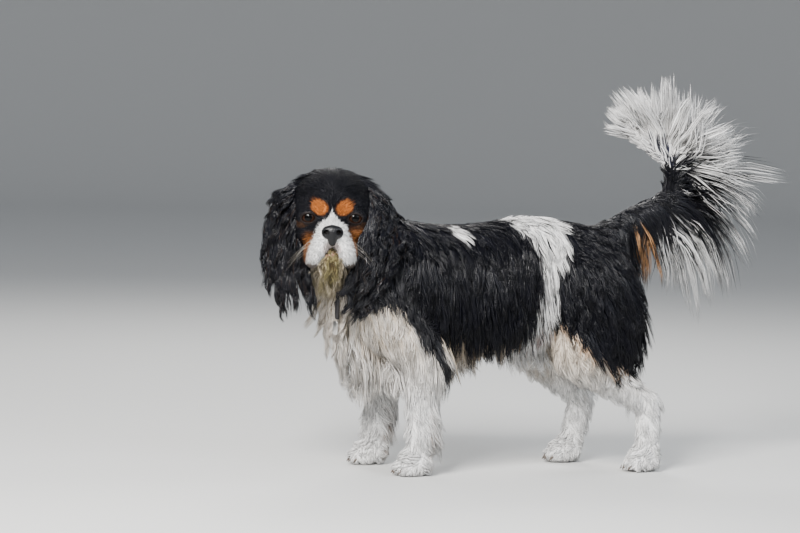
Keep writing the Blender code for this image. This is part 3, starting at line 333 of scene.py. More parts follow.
# %% Tail and head
# The middle line of the tail as (y, z) and its radius, and the lie of the plume there: degrees up from
# straight back.
TAIL_LINE = np.array([
    (0.137, 0.29, 0.024, -72),
    (0.174, 0.3215, 0.0165, -58),
    (0.206, 0.338, 0.0135, -40),
    (0.232, 0.356, 0.0115, -22),
    (0.2385, 0.382, 0.01, -2),
    (0.232, 0.402, 0.0088, 44),
    (0.213, 0.418, 0.0075, 86),
    (0.1925, 0.431, 0.0055, 138),
])


def tail_forms():
    """One limb through the tail's line."""
    points = [(0, y, z) for y, z, _, _ in TAIL_LINE]
    return [limb(points, TAIL_LINE[:, 2], melt=0.02)]


def skull_forms():
    """Skull, brows, cheeks, muzzle and the hanging upper lips, in the head's frame."""
    head = {"frame": HEAD}
    return [
        ball((0, 0.006, 0.018), (0.046, 0.054, 0.04), melt=0.03, **head),
        ball((0, -0.018, 0.02), (0.038, 0.03, 0.03), melt=0.014, **head),
        ball((0, 0.006, -0.02), (0.042, 0.044, 0.034), melt=0.02, **head),
        ball((0, 0.0, -0.046), (0.03, 0.044, 0.022), melt=0.02, **head),
        ball((0, -0.048, -0.018), (0.0215, 0.036, 0.0175), melt=0.014, **head),
        *ball_pair((0.0245, -0.0245, 0.004), (0.0155, 0.0165, 0.015), melt=0.012, **head),
        *ball_pair((0.028, -0.028, -0.018), (0.014, 0.015, 0.012), melt=0.012, **head),
        *ball_pair(
            (0.0158, -0.056, -0.0355), (0.0112, 0.023, 0.0235), turn=(0, -18, 0), melt=0.007, **head),
        *ball_pair(
            (0.0215, -0.038, -0.043), (0.0098, 0.023, 0.0165), turn=(0, -10, 0), melt=0.01, **head),
    ]


def jaw_forms():
    """The lower jaw from throat to chin."""
    chin = [(0, -0.058, -0.053), (0, -0.03, -0.0565), (0, 0.002, -0.0555)]
    return [
        limb(chin, (0.0105, 0.015, 0.024), frame=HEAD),
        ball((0, -0.056, -0.05), (0.0125, 0.016, 0.012), melt=0.008, frame=HEAD),
    ]


def nose_forms():
    """The bare nose: a pad, its two wings and the short stem below it."""
    x, y, z = NOSE_PLACE
    return [
        ball((x, y, z), (0.0118, 0.0078, 0.0088), melt=0.003, frame=HEAD),
        *ball_pair((0.0078, y + 0.001, z - 0.001), (0.0058, 0.007, 0.0072), melt=0.003, frame=HEAD),
        ball((x, y + 0.001, z - 0.01), (0.0045, 0.0058, 0.0075), melt=0.003, frame=HEAD),
    ]


def lid_forms():
    """The lids, as balls a little larger than the eyes."""
    return ball_pair(EYE_PLACE, (EYE_RADIUS + LID_THICK,) * 3, melt=0.004, frame=HEAD)


TAIL = tail_forms()
SKULL = skull_forms() + lid_forms()
JAW = jaw_forms()
NOSE = nose_forms()
BODY_FORMS = TRUNK + FORE["left"] + HIND["left"] + FORE["right"] + HIND["right"] + TAIL
NECK_MELT = 0.022
LIP_MELT = 0.0012  # the jaw barely melts into the lips, so the line of the mouth stays


def flesh_field(points):
    """The whole dog with its lower jaw, without the gaps between the lids."""
    whole = melted_in(melted(BODY_FORMS, points), melted(SKULL, points), NECK_MELT)
    return melted_in(whole, melted(JAW, points), LIP_MELT)


HEAD_MIDDLE, HEAD_AXES = np.array(HEAD.translation), np.array(HEAD.to_3x3())


def in_head(points):
    """Points in the head's own frame: left, back and up from between the ears."""
    return (points - HEAD_MIDDLE) @ HEAD_AXES


def turned(ways):
    """Directions in the head's frame as directions in the body's."""
    return ways @ HEAD_AXES.T


print("all forms of the flesh:", len(BODY_FORMS) + len(SKULL) + len(JAW))

# %% [markdown]
# ## One skin from the field
#
# A field becomes a surface where it is zero. *Surface nets* do this with arrays: sample the field on a grid
# of small cells, put one point in each cell that the surface crosses, at the mean of the crossings on the
# cell's edges, and join the points round every crossed grid edge with a four-sided face. The mesh is closed
# and has no seam. Most cells lie far from the skin, so a coarse grid finds where the fine one is needed.

# %% Surface nets
CORNERS = np.array([(x, y, z) for x in (0, 1) for y in (0, 1) for z in (0, 1)])
CELL_EDGES = [(a, b) for a in range(8) for b in range(a + 1, 8) if np.abs(CORNERS[a] - CORNERS[b]).sum() == 1]
BLOCK = 4  # fine cells along a coarse one
CHUNK = 60000  # points worked out at once, to stay in fast memory


def sampled(field, points):
    """A field at many points, in chunks."""
    parts = [field(points[i : i + CHUNK]) for i in range(0, len(points), CHUNK)]
    return np.concatenate(parts)


def grid_points(low, counts, step):
    """All points of a grid, one row each."""
    axes = [low[a] + np.arange(counts[a]) * step for a in range(3)]
    return np.stack(np.meshgrid(*axes, indexing="ij"), axis=-1).reshape(-1, 3)


def fine_grid(field, low, high, step):
    """The field on a fine grid: exact near the surface, and with the right sign elsewhere."""
    counts = np.ceil((np.array(high) - low) / (step * BLOCK)).astype(int)
    middles = grid_points(low + (BLOCK - 1) / 2 * step, counts, BLOCK * step)
    fine = sampled(field, middles).reshape(counts).astype(np.float32)
    for axis in range(3):
        fine = np.repeat(fine, BLOCK, axis=axis)
    near = np.argwhere(np.abs(fine) < BLOCK * step * 1.25)
    fine[tuple(near.T)] = sampled(field, low + near * step)
    return fine


def surface_net(values, low, step):
    """Points and four-sided faces of the surface where the sampled field is zero."""
    inside = values < 0
    shape = np.array(values.shape) - 1
    count = np.zeros(shape, np.int8)
    for x, y, z in CORNERS:
        count += inside[x : x + shape[0], y : y + shape[1], z : z + shape[2]]
    cells = np.argwhere((count > 0) & (count < 8))
    keys = np.ravel_multi_index(cells.T, shape)
    corner_values = np.stack([values[tuple((cells + corner).T)] for corner in CORNERS], axis=1)
    total, crossings = np.zeros((len(cells), 3)), np.zeros(len(cells))
    for a, b in CELL_EDGES:
        first, last = corner_values[:, a], corner_values[:, b]
        crossed = (first < 0) != (last < 0)
        share = np.where(crossed, first / np.where(crossed, first - last, 1), 0)
        total += crossed[:, None] * (CORNERS[a] + share[:, None] * (CORNERS[b] - CORNERS[a]))
        crossings += crossed
    points = low + (cells + total / crossings[:, None]) * step
    faces = []
    for axis in range(3):
        beside, above = (np.eye(3, dtype=int)[(axis + k) % 3] for k in (1, 2))
        along = np.eye(3, dtype=int)[axis]
        starts = cells[np.all(cells > 0, axis=1)]
        here, there = inside[tuple(starts.T)], inside[tuple((starts + along).T)]
        crossed = starts[here != there]
        outward = here[here != there]
        ring = [crossed - beside - above, crossed - above, crossed, crossed - beside]
        corners = np.stack([np.searchsorted(keys, np.ravel_multi_index(r.T, shape)) for r in ring], axis=1)
        corners[~outward] = corners[~outward][:, ::-1]
        faces.append(corners)
    return points, np.concatenate(faces)


print("a cell has", len(CELL_EDGES), "edges, and a block", BLOCK**3, "cells")

# %% Arrays to a mesh
SHADE = "shade"  # the colour attribute of every painted piece


def mesh_piece(name, points, faces):
    """An object from points in the dog's own frame and faces with as many corners each."""
    mesh = bpy.data.meshes.new(name)
    mesh.vertices.add(len(points))
    mesh.vertices.foreach_set("co", (points + SHIFT).astype(np.float32).ravel())
    mesh.loops.add(faces.size)
    mesh.loops.foreach_set("vertex_index", faces.astype(np.int32).ravel())
    mesh.polygons.add(len(faces))
    mesh.polygons.foreach_set("loop_start", np.arange(0, faces.size, faces.shape[1], dtype=np.int32))
    mesh.update(calc_edges=True)
    mesh.shade_smooth()
    piece = bpy.data.objects.new(name, mesh)
    bpy.context.scene.collection.objects.link(piece)
    return piece


def net_piece(name, field, low, high, step):
    """The surface where a field is zero, as a piece."""
    return mesh_piece(name, *surface_net(fine_grid(field, low, high, step), low, step))


def points_of(piece):
    """A piece's points in the dog's own frame."""
    mesh = piece.data
    points = np.empty(3 * len(mesh.vertices))
    mesh.vertices.foreach_get("co", points)
    return points.reshape(-1, 3) - SHIFT


def vertex_normals(piece):
    """The outward direction at each point."""
    mesh = piece.data
    normals = np.empty(3 * len(mesh.vertices), np.float32)
    mesh.vertex_normals.foreach_get("vector", normals)
    return normals.reshape(-1, 3).astype(float)


def apply_modifiers(piece):
    """Turns the piece's modifiers into plain mesh."""
    graph = bpy.context.evaluated_depsgraph_get()
    mesh = bpy.data.meshes.new_from_object(piece.evaluated_get(graph))
    piece.modifiers.clear()
    piece.data = mesh


def set_colour(piece, colours):
    """A colour for each point, which the materials read."""
    attribute = piece.data.color_attributes.new(SHADE, "FLOAT_COLOR", "POINT")
    rows = np.ones((len(colours), 4), np.float32)
    rows[:, :3] = colours
    attribute.data.foreach_set("color", rows.ravel())


def set_uv(piece, name, coordinates):
    """A UV map from one coordinate pair for each point."""
    mesh = piece.data
    corners = np.empty(len(mesh.loops), np.int32)
    mesh.loops.foreach_get("vertex_index", corners)
    layer = mesh.uv_layers.new(name=name)
    layer.uv.foreach_set("vector", coordinates[corners].astype(np.float32).ravel())


def ring_faces(rings, around, closed=False):
    """Quads between rings of points, one after another, and from the last to the first where it is closed."""
    ring, i = np.indices((rings if closed else rings - 1, around))
    here, after, j = ring * around, (ring + 1) % rings * around, (i + 1) % around
    return np.stack([here + i, here + j, after + j, after + i], axis=-1).reshape(-1, 4)


print("a tube of 3 rings of 8 points has", len(ring_faces(3, 8)), "faces")

# %% The skin
SKIN_STEP = 0.0015
SKIN_LOW, SKIN_HIGH = np.array((-0.096, -0.336, -0.004)), (0.114, 0.262, 0.448)
SKIN_TRIANGLES = 170000
EYE_OPENING = {"centre": (0.0297, -0.0465, -0.0004), "radii": (0.0092, 0.01, 0.0063), "turn": (0, 6, 14)}
FACE_MIDDLE = (0, -0.03, -0.01)  # in the head's frame

eyeballs = ball_pair(EYE_PLACE, (EYE_RADIUS - 0.0004,) * 3, frame=HEAD)
lid_gaps = ball_pair(**EYE_OPENING, frame=HEAD)


def skin_field(points):
    """The flesh with the lids opened over the eyes, and flat where it stands on the floor."""
    value = flesh_field(points)
    for hole in eyeballs + lid_gaps:
        value = np.maximum(value, -distance(hole, points))
    return np.maximum(value, 0.0002 - points[:, 2])


skin = net_piece("skin", skin_field, SKIN_LOW, SKIN_HIGH, SKIN_STEP)
print("skin net:", len(skin.data.polygons), "faces")

face_share = 1 - ramp(np.linalg.norm(in_head(points_of(skin)) - FACE_MIDDLE, axis=1), 0.055, 0.075)
face_group = skin.vertex_groups.new(name="keep fine")
for level in np.linspace(0.2, 1, 5):
    face_group.add(np.flatnonzero(face_share >= level).tolist(), float(level), "REPLACE")
thin = skin.modifiers.new("fewer faces", "DECIMATE")
thin.ratio = SKIN_TRIANGLES / (2 * len(skin.data.polygons))
thin.vertex_group = "keep fine"
thin.invert_vertex_group = True
apply_modifiers(skin)
skin.vertex_groups.clear()
skin.data.shade_smooth()
print("skin:", len(skin.data.polygons), "faces")

# %% [markdown]
# ## Where the skin is, for the hair
#
# Combing asks for the height over the skin and the way outward many times for more than fifty thousand tufts.
# Both are worked out once on a grid of 5 mm, and read from it by trilinear interpolation: the eight corners
# of the cell round a point, each weighted by how near it is.

# %% Height over the skin, on a grid
HAIR_STEP = 0.005
HAIR_LOW, HAIR_HIGH = np.array((-0.13, -0.36, -0.01)), np.array((0.14, 0.39, 0.52))
hair_shape = np.ceil((HAIR_HIGH - HAIR_LOW) / HAIR_STEP).astype(int)
height_grid = sampled(flesh_field, grid_points(HAIR_LOW, hair_shape, HAIR_STEP)).reshape(hair_shape)
slope_grid = np.stack(np.gradient(height_grid, HAIR_STEP), axis=-1)


def read(grid, points):
    """The grid's value at each point, by trilinear interpolation."""
    place = np.clip((points - HAIR_LOW) / HAIR_STEP, 0, hair_shape - 1.001)
    cell = place.astype(int)
    share = place - cell
    total = 0
    for corner in CORNERS:
        weight = np.prod(np.where(corner, share, 1 - share), axis=1)
        value = grid[tuple((cell + corner).T)]
        total = total + value * (weight if value.ndim == 1 else weight[:, None])
    return total


def lifted(points, least):
    """Points moved out of the skin until they are that far from it, and the way outward there."""
    out = unit(read(slope_grid, points))
    return points + out * np.maximum(least - read(height_grid, points), 0)[:, None], out


def slope_of(field, points, step=0.0004):
    """The way in which a field grows fastest, by central differences."""
    ways = [(field(points + axis) - field(points - axis)) / (2 * step) for axis in np.eye(3) * step]
    return np.stack(ways, axis=1)


print("grid of heights:", *height_grid.shape)

# %% Which part of the body a point lies on
PART_FORMS = {
    "trunk": TRUNK, "fore_left": FORE["left"], "fore_right": FORE["right"], "hind_left": HIND["left"],
    "hind_right": HIND["right"], "tail": TAIL, "head": SKULL, "jaw": JAW}
PARTS = list(PART_FORMS)


def height_over(forms, points):
    """The height over some of the forms alone."""
    return sampled(lambda some: melted(forms, some), points)


def part_heights(points):
    """The height over each part of the body alone, one column a part."""
    return np.stack([height_over(forms, points) for forms in PART_FORMS.values()], axis=1)


def lies_on(heights, *names):
    """Which rows of heights are lowest over one of those parts."""
    return np.isin(heights.argmin(axis=1), [PARTS.index(name) for name in names])


def from_nearest(forms, points):
    """How far each point is outside the nearest of those forms."""
    return np.min([distance(form, points) for form in forms], axis=0)


def tail_place(points):
    """How far along the tail's line each point is, counted in the line's own points."""
    nearest, mark = np.full(len(points), np.inf), np.zeros(len(points))
    for i in range(len(TAIL_LINE) - 1):
        start, end = TAIL_LINE[i, :2], TAIL_LINE[i + 1, :2]
        run = end - start
        along = np.clip((points[:, 1:] - start) @ run / (run @ run), 0, 1)
        away = np.linalg.norm(points[:, 1:] - start - along[:, None] * run, axis=1)
        mark = np.where(away < nearest, i + along, mark)
        nearest = np.minimum(away, nearest)
    return mark


skin_points, skin_normals = points_of(skin), vertex_normals(skin)
skin_heights = part_heights(skin_points)
print("points of the skin on the head:", lies_on(skin_heights, "head").sum())

# %% [markdown]
# ## Markings
#
# A tricolour coat is black on white ground with tan points: spots over the eyes, the cheeks and under the
# tail. Skin and hair have to agree, so one function gives the colour of any point of the skin, and a tuft
# takes the colour of its root. Each patch is a place, a size and a soft edge that `ripple` makes uneven.
# Long hair often changes its colour on the way out, so there is a second colour for the tips.

# %% Colours of the coat
BLACK = np.array((0.0036, 0.0038, 0.007))
WHITE = np.array((0.95, 0.94, 0.93))
CREAM = np.array((0.68, 0.56, 0.42))
TAN = np.array((0.44, 0.155, 0.036))
PALE_TAN = np.array((0.6, 0.34, 0.17))
OLIVE = np.array((0.36, 0.3, 0.13))
BROWN = np.array((0.2, 0.105, 0.045))
PINK = np.array((0.5, 0.27, 0.23))
LIP = np.array((0.018, 0.011, 0.01))
BROW_TAN = (0.52, 0.158, 0.03)
FRONT_LEAN = 0.577  # the white of the front ends on a plane that leans forward by this much a metre of height

# The white patch over the loin: height, its middle and its half width along the body.
LOIN_PATCH = np.array([
    (0.174, 0.045, 0.025), (0.195, 0.043, 0.023), (0.21, 0.041, 0.012),
    (0.232, 0.045, 0.01), (0.25, 0.05, 0.01), (0.28, 0.057, 0.017),
    (0.295, 0.057, 0.024), (0.313, 0.052, 0.033), (0.33, 0.045, 0.038)])
# The white of the face: height from the eyes and half width.
BLAZE = np.array([
    (-0.06, 0.031), (-0.05, 0.03), (-0.0365, 0.028), (-0.0177, 0.0205), (-0.009, 0.0174),
    (-0.003, 0.01), (0.002, 0.0041), (0.006, 0.002), (0.014, 0.0)])
BLAZE_TOP = 0.0128


def spot(flat_points, middle, radii, turn=0.0, soft=0.14):
    """1 inside a turned ellipse, 0 outside it, with a soft edge."""
    offset = flat_points - np.array(middle)
    angle = math.radians(turn)
    along = offset[:, 0] * math.cos(angle) + offset[:, 1] * math.sin(angle)
    across = -offset[:, 0] * math.sin(angle) + offset[:, 1] * math.cos(angle)
    return 1 - ramp(np.hypot(along / radii[0], across / radii[1]), 1 - soft, 1 + soft)


def head_colours(points):
    """Black, with a white face, tan brows and cheeks, and an olive throat."""
    left, back, up = in_head(points).T
    uneven = 0.0016 * ripple(points, 0.011)
    side = np.abs(left) + uneven
    blaze_half = np.interp(up + uneven, BLAZE[:, 0], BLAZE[:, 1])
    blaze = ramp(blaze_half - side, -0.001, 0.001) * ramp(-back, 0.006, 0.014) * (up < BLAZE_TOP)
    patchy = 0.72 + 0.28 * ripple(points, 0.006)
    start, reach = np.where(left > 0, 0.006, 0.014), np.where(left > 0, 0.046, 0.034)
    cheek = ramp(side, 0.018, 0.023) * (1 - ramp(side, reach - 0.003, reach + 0.003)) * patchy
    cheek = cheek * ramp(-up, start, start + 0.014) * (1 - ramp(back, -0.006, 0.006))
    brows = 0
    for sign in SIDES.values():
        flat = columns(left * sign, up) + 0.2 * uneven[:, None]
        brows = brows + spot(flat, (0.0158, 0.0136), (0.0106, 0.0092), turn=32, soft=0.2)
    brows = brows * (back < -0.02) * (0.9 + 0.1 * ripple(points, 0.0045, 3))
    throat = ramp(-up, 0.05, 0.06) * ramp(back, -0.03, -0.018)
    colour = mixed(BLACK, mixed(TAN, BLACK, 0.25), np.clip(cheek, 0, 1))
    colour = mixed(colour, BROW_TAN, np.clip(brows, 0, 1))
    colour = mixed(colour, WHITE, blaze)
    colour = mixed(colour, mixed(CREAM, OLIVE, 0.5), throat)
    under_nose = spot(columns(left, up), (0.0, -0.038), (0.012, 0.011)) * (back < -0.062)
    colour = mixed(colour, PINK * 1.2, 0.3 * under_nose)
    below_eye = spot(columns(side, up), (0.036, -0.0075), (0.008, 0.0045), -25)
    colour = mixed(colour, mixed(BROWN, TAN, 0.3), 0.22 * below_eye * (back > -0.046))
    corner = spot(columns(side, up), (0.025, -0.06), (0.01, 0.006)) * (back > -0.066)
    return mixed(colour, mixed(LIP, BROWN, 0.3), 0.85 * corner)


def jaw_colours(points):
    """Olive under the lip, with paler sides and a pinkish edge to the lip."""
    left, _, up = in_head(points).T
    pale = ramp(np.abs(left), 0.005, 0.011) * ramp(-up, 0.048, 0.054)
    colour = mixed(mixed(OLIVE, CREAM, 0.15), mixed(CREAM, WHITE, 0.15), pale)
    return mixed(colour, mixed(PINK, CREAM, 0.5), 0.7 * (1 - ramp(-up, 0.0415, 0.047)))


def trunk_colours(points):
    """Black, with the white front, the patch over the loin, a pale belly and a few dots on the back."""
    x, y, z = points.T
    uneven = 0.0055 * ripple(points, 0.035) + 0.002 * ripple(points, 0.008, 1)
    chest = 1 - ramp(y + FRONT_LEAN * z + 0.033 + uneven, -0.004, 0.004)
    under_ear = ramp(z + uneven, 0.207, 0.214) * ramp(y, -0.216, -0.204) * ramp(x, 0.03, 0.04)
    chest = chest * (1 - under_ear)
    low = 0.162 + 0.022 * spot(columns(y, y), (-0.078, -0.078), (0.028, 0.028), soft=0.3)
    belly = 1 - ramp(z + uneven, low - 0.005, low + 0.005)
    belly = belly * (1 - ramp(np.abs(x), 0.026, 0.034) * ramp(-y, 0.094, 0.1))
    middle = np.interp(z, LOIN_PATCH[:, 0], LOIN_PATCH[:, 1]) - 0.006 * ramp(z, 0.27, 0.3)
    half = np.interp(z, LOIN_PATCH[:, 0], LOIN_PATCH[:, 2])
    half = np.where(x < 0, half * ramp(z, 0.22, 0.28), half)
    loin = ramp(half - np.abs(y - middle) + 0.6 * uneven, -0.003, 0.003)
    dots = spot(columns(y, z), (-0.064, 0.3065), (0.013, 0.008), -20) * (x > 0)
    dots = dots + spot(columns(y, x), (-0.146, 0.012), (0.008, 0.01)) * (z > 0.28)
    colour = mixed(BLACK, WHITE, np.clip(loin + dots, 0, 1))
    colour = mixed(colour, mixed(CREAM, WHITE, ramp(z, 0.17, 0.13)), belly)
    colour = mixed(colour, mixed(CREAM, WHITE, 0.3 + 0.3 * ripple(points, 0.03)), chest)
    groin = spot(columns(y, z), (0.05, 0.172), (0.02, 0.022)) * (np.abs(x) > 0.02)
    return mixed(colour, PINK, 0.5 * groin)


def hind_colours(points, side):
    """Black down to a slanting edge outside, with a tan border, and white below and inside."""
    x, y, z = points.T
    uneven = 0.005 * ripple(points, 0.03) + 0.002 * ripple(points, 0.008, 1)
    from_hip = y - (HIND_LEGS[side]["hip"] - HIND_LEGS["left"]["hip"])
    edge = np.interp(from_hip, [0.06, 0.075, 0.105, 0.135, 0.17], [0.196, 0.182, 0.15, 0.132, 0.128])
    above = ramp(z - edge + uneven, -0.003, 0.003)
    outer = ramp(x * SIDES[side] + 0.5 * uneven, 0.026, 0.034)
    rear = ramp(from_hip, 0.15, 0.165)
    black = above * np.maximum(outer, rear)
    border = ramp(z - edge + uneven, -0.014, -0.004) * (1 - above) * outer
    legs = mixed(WHITE, CREAM, ramp(z, 0.09, 0.15) * 0.8)
    return mixed(mixed(legs, PALE_TAN, 0.6 * border), BLACK, black)


def fore_colours(points, side):
    """White, with black behind the elbow, a brown stain low down behind and a few grey ticks."""
    _, y, z = points.T
    leg = FORE_LEGS[side]
    behind = ramp(y - leg["wrist"][0], 0.0, 0.012) * ramp(-z, -0.105, -0.03)
    stain = behind * ramp(ripple(points, 0.02), -0.6, 0.5)
    edge = leg["elbow"][0] + 0.112 + np.interp(z, [0.118, 0.13, 0.156], [-0.086, -0.098, -0.116])
    dark = ramp(y - edge + 0.003 * ripple(points, 0.012), -0.002, 0.002) * ramp(z, 0.114, 0.122)
    ticks = ramp(ripple(points, 0.009, 2), 0.72, 0.85) * spot(points[:, 1:], (-0.105, 0.128), (0.016, 0.014))
    colour = mixed(WHITE, CREAM, ramp(z, 0.08, 0.17) * 0.55)
    return mixed(mixed(colour, BROWN, 0.65 * stain), BLACK, np.maximum(0.5 * ticks, dark))


def tail_colours(points):
    """Black to the bend and white past it."""
    mark = tail_place(points) + 0.15 * ripple(points, 0.02)
    return mixed(BLACK, WHITE, ramp(mark, 4.45, 4.7))


PART_COLOURS = {
    "fore": fore_colours, "hind": hind_colours, "tail": tail_colours, "head": head_colours,
    "jaw": jaw_colours}


def skin_colours(points, heights):
    """The colour of the coat at each point of the skin, and dark lips, lids and ground of the nose."""
    colour = trunk_colours(points)
    for part in PARTS[1:]:
        here = lies_on(heights, part)
        kind, *side = part.split("_")
        own = PART_COLOURS[kind](points[here], *side)
        if kind == "fore":
            own = mixed(own, colour[here], ramp(points[here, 2], 0.145, 0.165))
        colour[here] = own
    over_head, over_jaw = heights[:, PARTS.index("head")], heights[:, PARTS.index("jaw")]
    between_lips = np.abs(over_head - over_jaw) + np.maximum(over_jaw, 0)
    colour = mixed(LIP, colour, ramp(between_lips, 0.0008, 0.0022))
    colour = mixed(LIP * 0.2, colour, ramp(height_over(NOSE, points), -0.0003, 0.0006))
    return mixed(LIP * 0.5, colour, ramp(from_nearest(lid_gaps, points), 0.0012, 0.003))


def is_pale(colours):
    """Which rows are anything but black."""
    return colours.mean(axis=1) > 0.05


skin_shades = skin_colours(skin_points, skin_heights)
set_colour(skin, skin_shades)
print("share of the skin's points that aren't black:", is_pale(skin_shades).mean().round(2))

# %% [markdown]
# ## Roots
#
# Tufts should stand evenly, not in heaps. The skin's triangles are put in an order in which neighbours stay
# together, by interleaving the bits of their cell's three numbers. Then a root is drawn in each equal step
# along the running total of area times density.

# %% Roots spread over the skin
skin.data.calc_loop_triangles()
corners = np.empty(3 * len(skin.data.loop_triangles), np.int32)
skin.data.loop_triangles.foreach_get("vertices", corners)
triangles = corners.reshape(-1, 3)
triangle_points = skin_points[triangles]
triangle_middles = triangle_points.mean(axis=1)
crossed_sides = np.cross(*(triangle_points[:, k] - triangle_points[:, 0] for k in (1, 2)))
triangle_areas = np.linalg.norm(crossed_sides, axis=1) / 2
triangle_heights = skin_heights[triangles].mean(axis=1)

ORDER_CELL, ORDER_BITS = 0.006, 7
cells = ((triangle_middles - HAIR_LOW) / ORDER_CELL).astype(int)
order_key = np.zeros(len(cells), np.int64)
for bit in range(ORDER_BITS):
    for axis in range(3):
        order_key |= ((cells[:, axis] >> bit) & 1) << (3 * bit + axis)
neighbour_order = np.argsort(order_key, kind="stable")

# Each piece of the coat: how many tufts it has, half the width of one, its slot, its roughness and how much
# it shines.
Hair = namedtuple("Hair", "count half_width slot roughness shine")
HAIR = {
    "coat_front": Hair(4500, 0.00105, "white_coat", 0.42, 0.4),
    "coat_flank_left": Hair(5500, 0.0009, "black_coat", 0.27, 0.25),
    "coat_flank_right": Hair(3900, 0.0009, "black_coat", 0.27, 0.25),
    "coat_rump": Hair(5700, 0.00098, "black_coat", 0.27, 0.25),
    "coat_legs": Hair(7800, 0.00082, "white_coat", 0.46, 0.4),
    "coat_tail": Hair(5850, 0.00105, "black_coat", 0.34, 0.32),
    "coat_face": Hair(9500, 0.00055, "black_coat", 0.5, 0.18),
    "coat_chin": Hair(1900, 0.00062, "white_coat", 0.42, 0.3),
    "coat_skull": Hair(5200, 0.00085, "black_coat", 0.3, 0.28),
    "coat_ear_left": Hair(2600, 0.00105, "black_coat", 0.26, 0.3),
    "coat_ear_right": Hair(2600, 0.00105, "black_coat", 0.26, 0.3),
}
Roots = namedtuple("Roots", "points normals heights colours")


def scattered(name, density):
    """The roots of a piece, spread evenly by area times density, with their normals and colours."""
    count = HAIR[name].count
    reached = np.cumsum((triangle_areas * density)[neighbour_order])
    steps = (np.arange(count) + rng.random(count)) / count * reached[-1]
    picked = neighbour_order[np.minimum(np.searchsorted(reached, steps), len(reached) - 1)]
    a, b = rng.random((2, count))
    fold = a + b > 1
    a, b = np.where(fold, 1 - a, a), np.where(fold, 1 - b, b)
    weights = np.stack([1 - a - b, a, b], axis=1)[:, :, None]
    corner_ids = triangles[picked]
    points = (skin_points[corner_ids] * weights).sum(axis=1)
    normals = unit((skin_normals[corner_ids] * weights).sum(axis=1))
    heights = (skin_heights[corner_ids] * weights).sum(axis=1)
    return Roots(points, normals, heights, skin_colours(points, heights))


def seen(roots, ways, lengths):
    """Long hair carries its colour away from its root, so a tuft takes the colour of the skin that it covers.

    That is found a little along its way: at 0.45 of its length, but no further than 20 mm.
    """
    flat = unit(laid_down(ways, roots.normals))
    points = roots.points + np.minimum(0.45 * lengths, 0.02)[:, None] * flat
    points = points - read(height_grid, points)[:, None] * unit(read(slope_grid, points))
    return roots._replace(colours=skin_colours(points, part_heights(points)))


def on_parts(*names):
    """1 on the triangles of those parts of the body, 0 elsewhere."""
    return lies_on(triangle_heights, *names).astype(float)


print("skin triangles:", len(triangles), " area:", round(triangle_areas.sum(), 3), "square metres")
print("tufts:", sum(hair.count for hair in HAIR.values()))

# %% [markdown]
# ## Combing
#
# A tuft's middle line starts at its root and takes a few steps. At each step it is drawn down a little, as
# wet hair is, and moved out of the skin when it would sink in, so that it lies along the body. Wet hair also
# gathers in locks: every tuft is drawn towards the line of a *leader*, the more the nearer to its tip, and
# the tufts of one lock wave together.

# %% Middle lines of tufts
# Steps along a tuft's line, how far its tip lifts off the skin, how strongly it sinks, the height and length
# of its waves, how closely a lock gathers, and how many locks there are.
Comb = namedtuple("Comb", "steps lift droop wave wave_length gather leaders")
AT_ONCE = 4000  # tufts whose distances to all leaders are worked out at once
FLOOR_ROOM = 0.0012  # no tuft hangs lower than this over the floor


def combed(roots, ways, lengths, comb):
    """The lines of all tufts, as an array of (tuft, step, xyz), and the way outward along them."""
    count = len(roots.points)
    points = roots.points - 0.0012 * roots.normals
    lines, outward = [points], [roots.normals]
    lift = comb.lift * rng.uniform(0.15, 1.0, count)
    ways = unit(ways + 0.05 * rng.normal(size=(count, 3)))
    fall = np.broadcast_to(comb.droop, count)[:, None] * np.array((0, 0, -1 / comb.steps))
    for step in range(1, comb.steps + 1):
        ways = unit(ways + fall)
        points = points + ways * (lengths / comb.steps)[:, None]
        points, out = lifted(points, lift * (step / comb.steps) ** 0.6 + 0.0004)
        ways = unit(mixed(ways, unit(points - lines[-1]), 0.6))
        lines.append(points)
        outward.append(out)
    return np.stack(lines, axis=1), np.stack(outward, axis=1)


def lock_leaders(points, comb):
    """The leader that each tuft follows: the nearest of some tufts that are chosen at random."""
    leaders = rng.choice(len(points), comb.leaders, replace=False)
    found = []
    for start in range(0, len(points), AT_ONCE):
        apart = points[start : start + AT_ONCE, None] - points[leaders][None]
        found.append(leaders[(apart**2).sum(axis=2).argmin(axis=1)])
    return np.concatenate(found)


def in_locks(lines, outward, lengths, leader, comb):
    """The lines with their waves, gathered into locks round their leaders."""
    count, places = lines.shape[:2]
    share = np.linspace(0, 1, places)[None, :]
    side = unit(np.cross(np.gradient(lines, axis=1), outward))
    phase = rng.uniform(0, 2 * math.pi, count)[leader][:, None]
    turns = 2 * math.pi * lengths[:, None] * share / comb.wave_length + phase
    reach = comb.wave * rng.uniform(0.5, 1.3, count)[leader][:, None] * share**0.8
    start = np.sin(phase)
    lines = lines + (reach * (np.sin(turns) - start * (1 - share)))[..., None] * side
    lines = lines + (0.45 * reach * np.cos(turns))[..., None] * outward
    pull = (comb.gather * rng.uniform(0.7, 1.0, count)[:, None] * share**0.75)[..., None]
    beside = (lines[:, :1] - lines[leader][:, :1]) * (1 - 0.9 * share)[..., None]
    lines = lines + pull * (lines[leader] + beside - lines)
    lines = lifted(lines.reshape(-1, 3), 0.0003)[0].reshape(lines.shape)
    lines[:, 1:, 2] = np.maximum(lines[:, 1:, 2], FLOOR_ROOM)
    return lines


print("a comb has", ", ".join(Comb._fields))

# %% [markdown]
# ## Tufts as solid mesh
#
# A tuft is a closed, three-sided sliver, flat below and ridged above, that narrows to a point. All tufts of
# a piece are made at once: the rings are an array of (tuft, ring, side), and the faces of one tuft are
# repeated with an offset. The bake needs a patch of its own for each tuft, at its root's place on an unwrap
# of the skin, so every part of the body is unrolled round its own axis into its own window of the map.

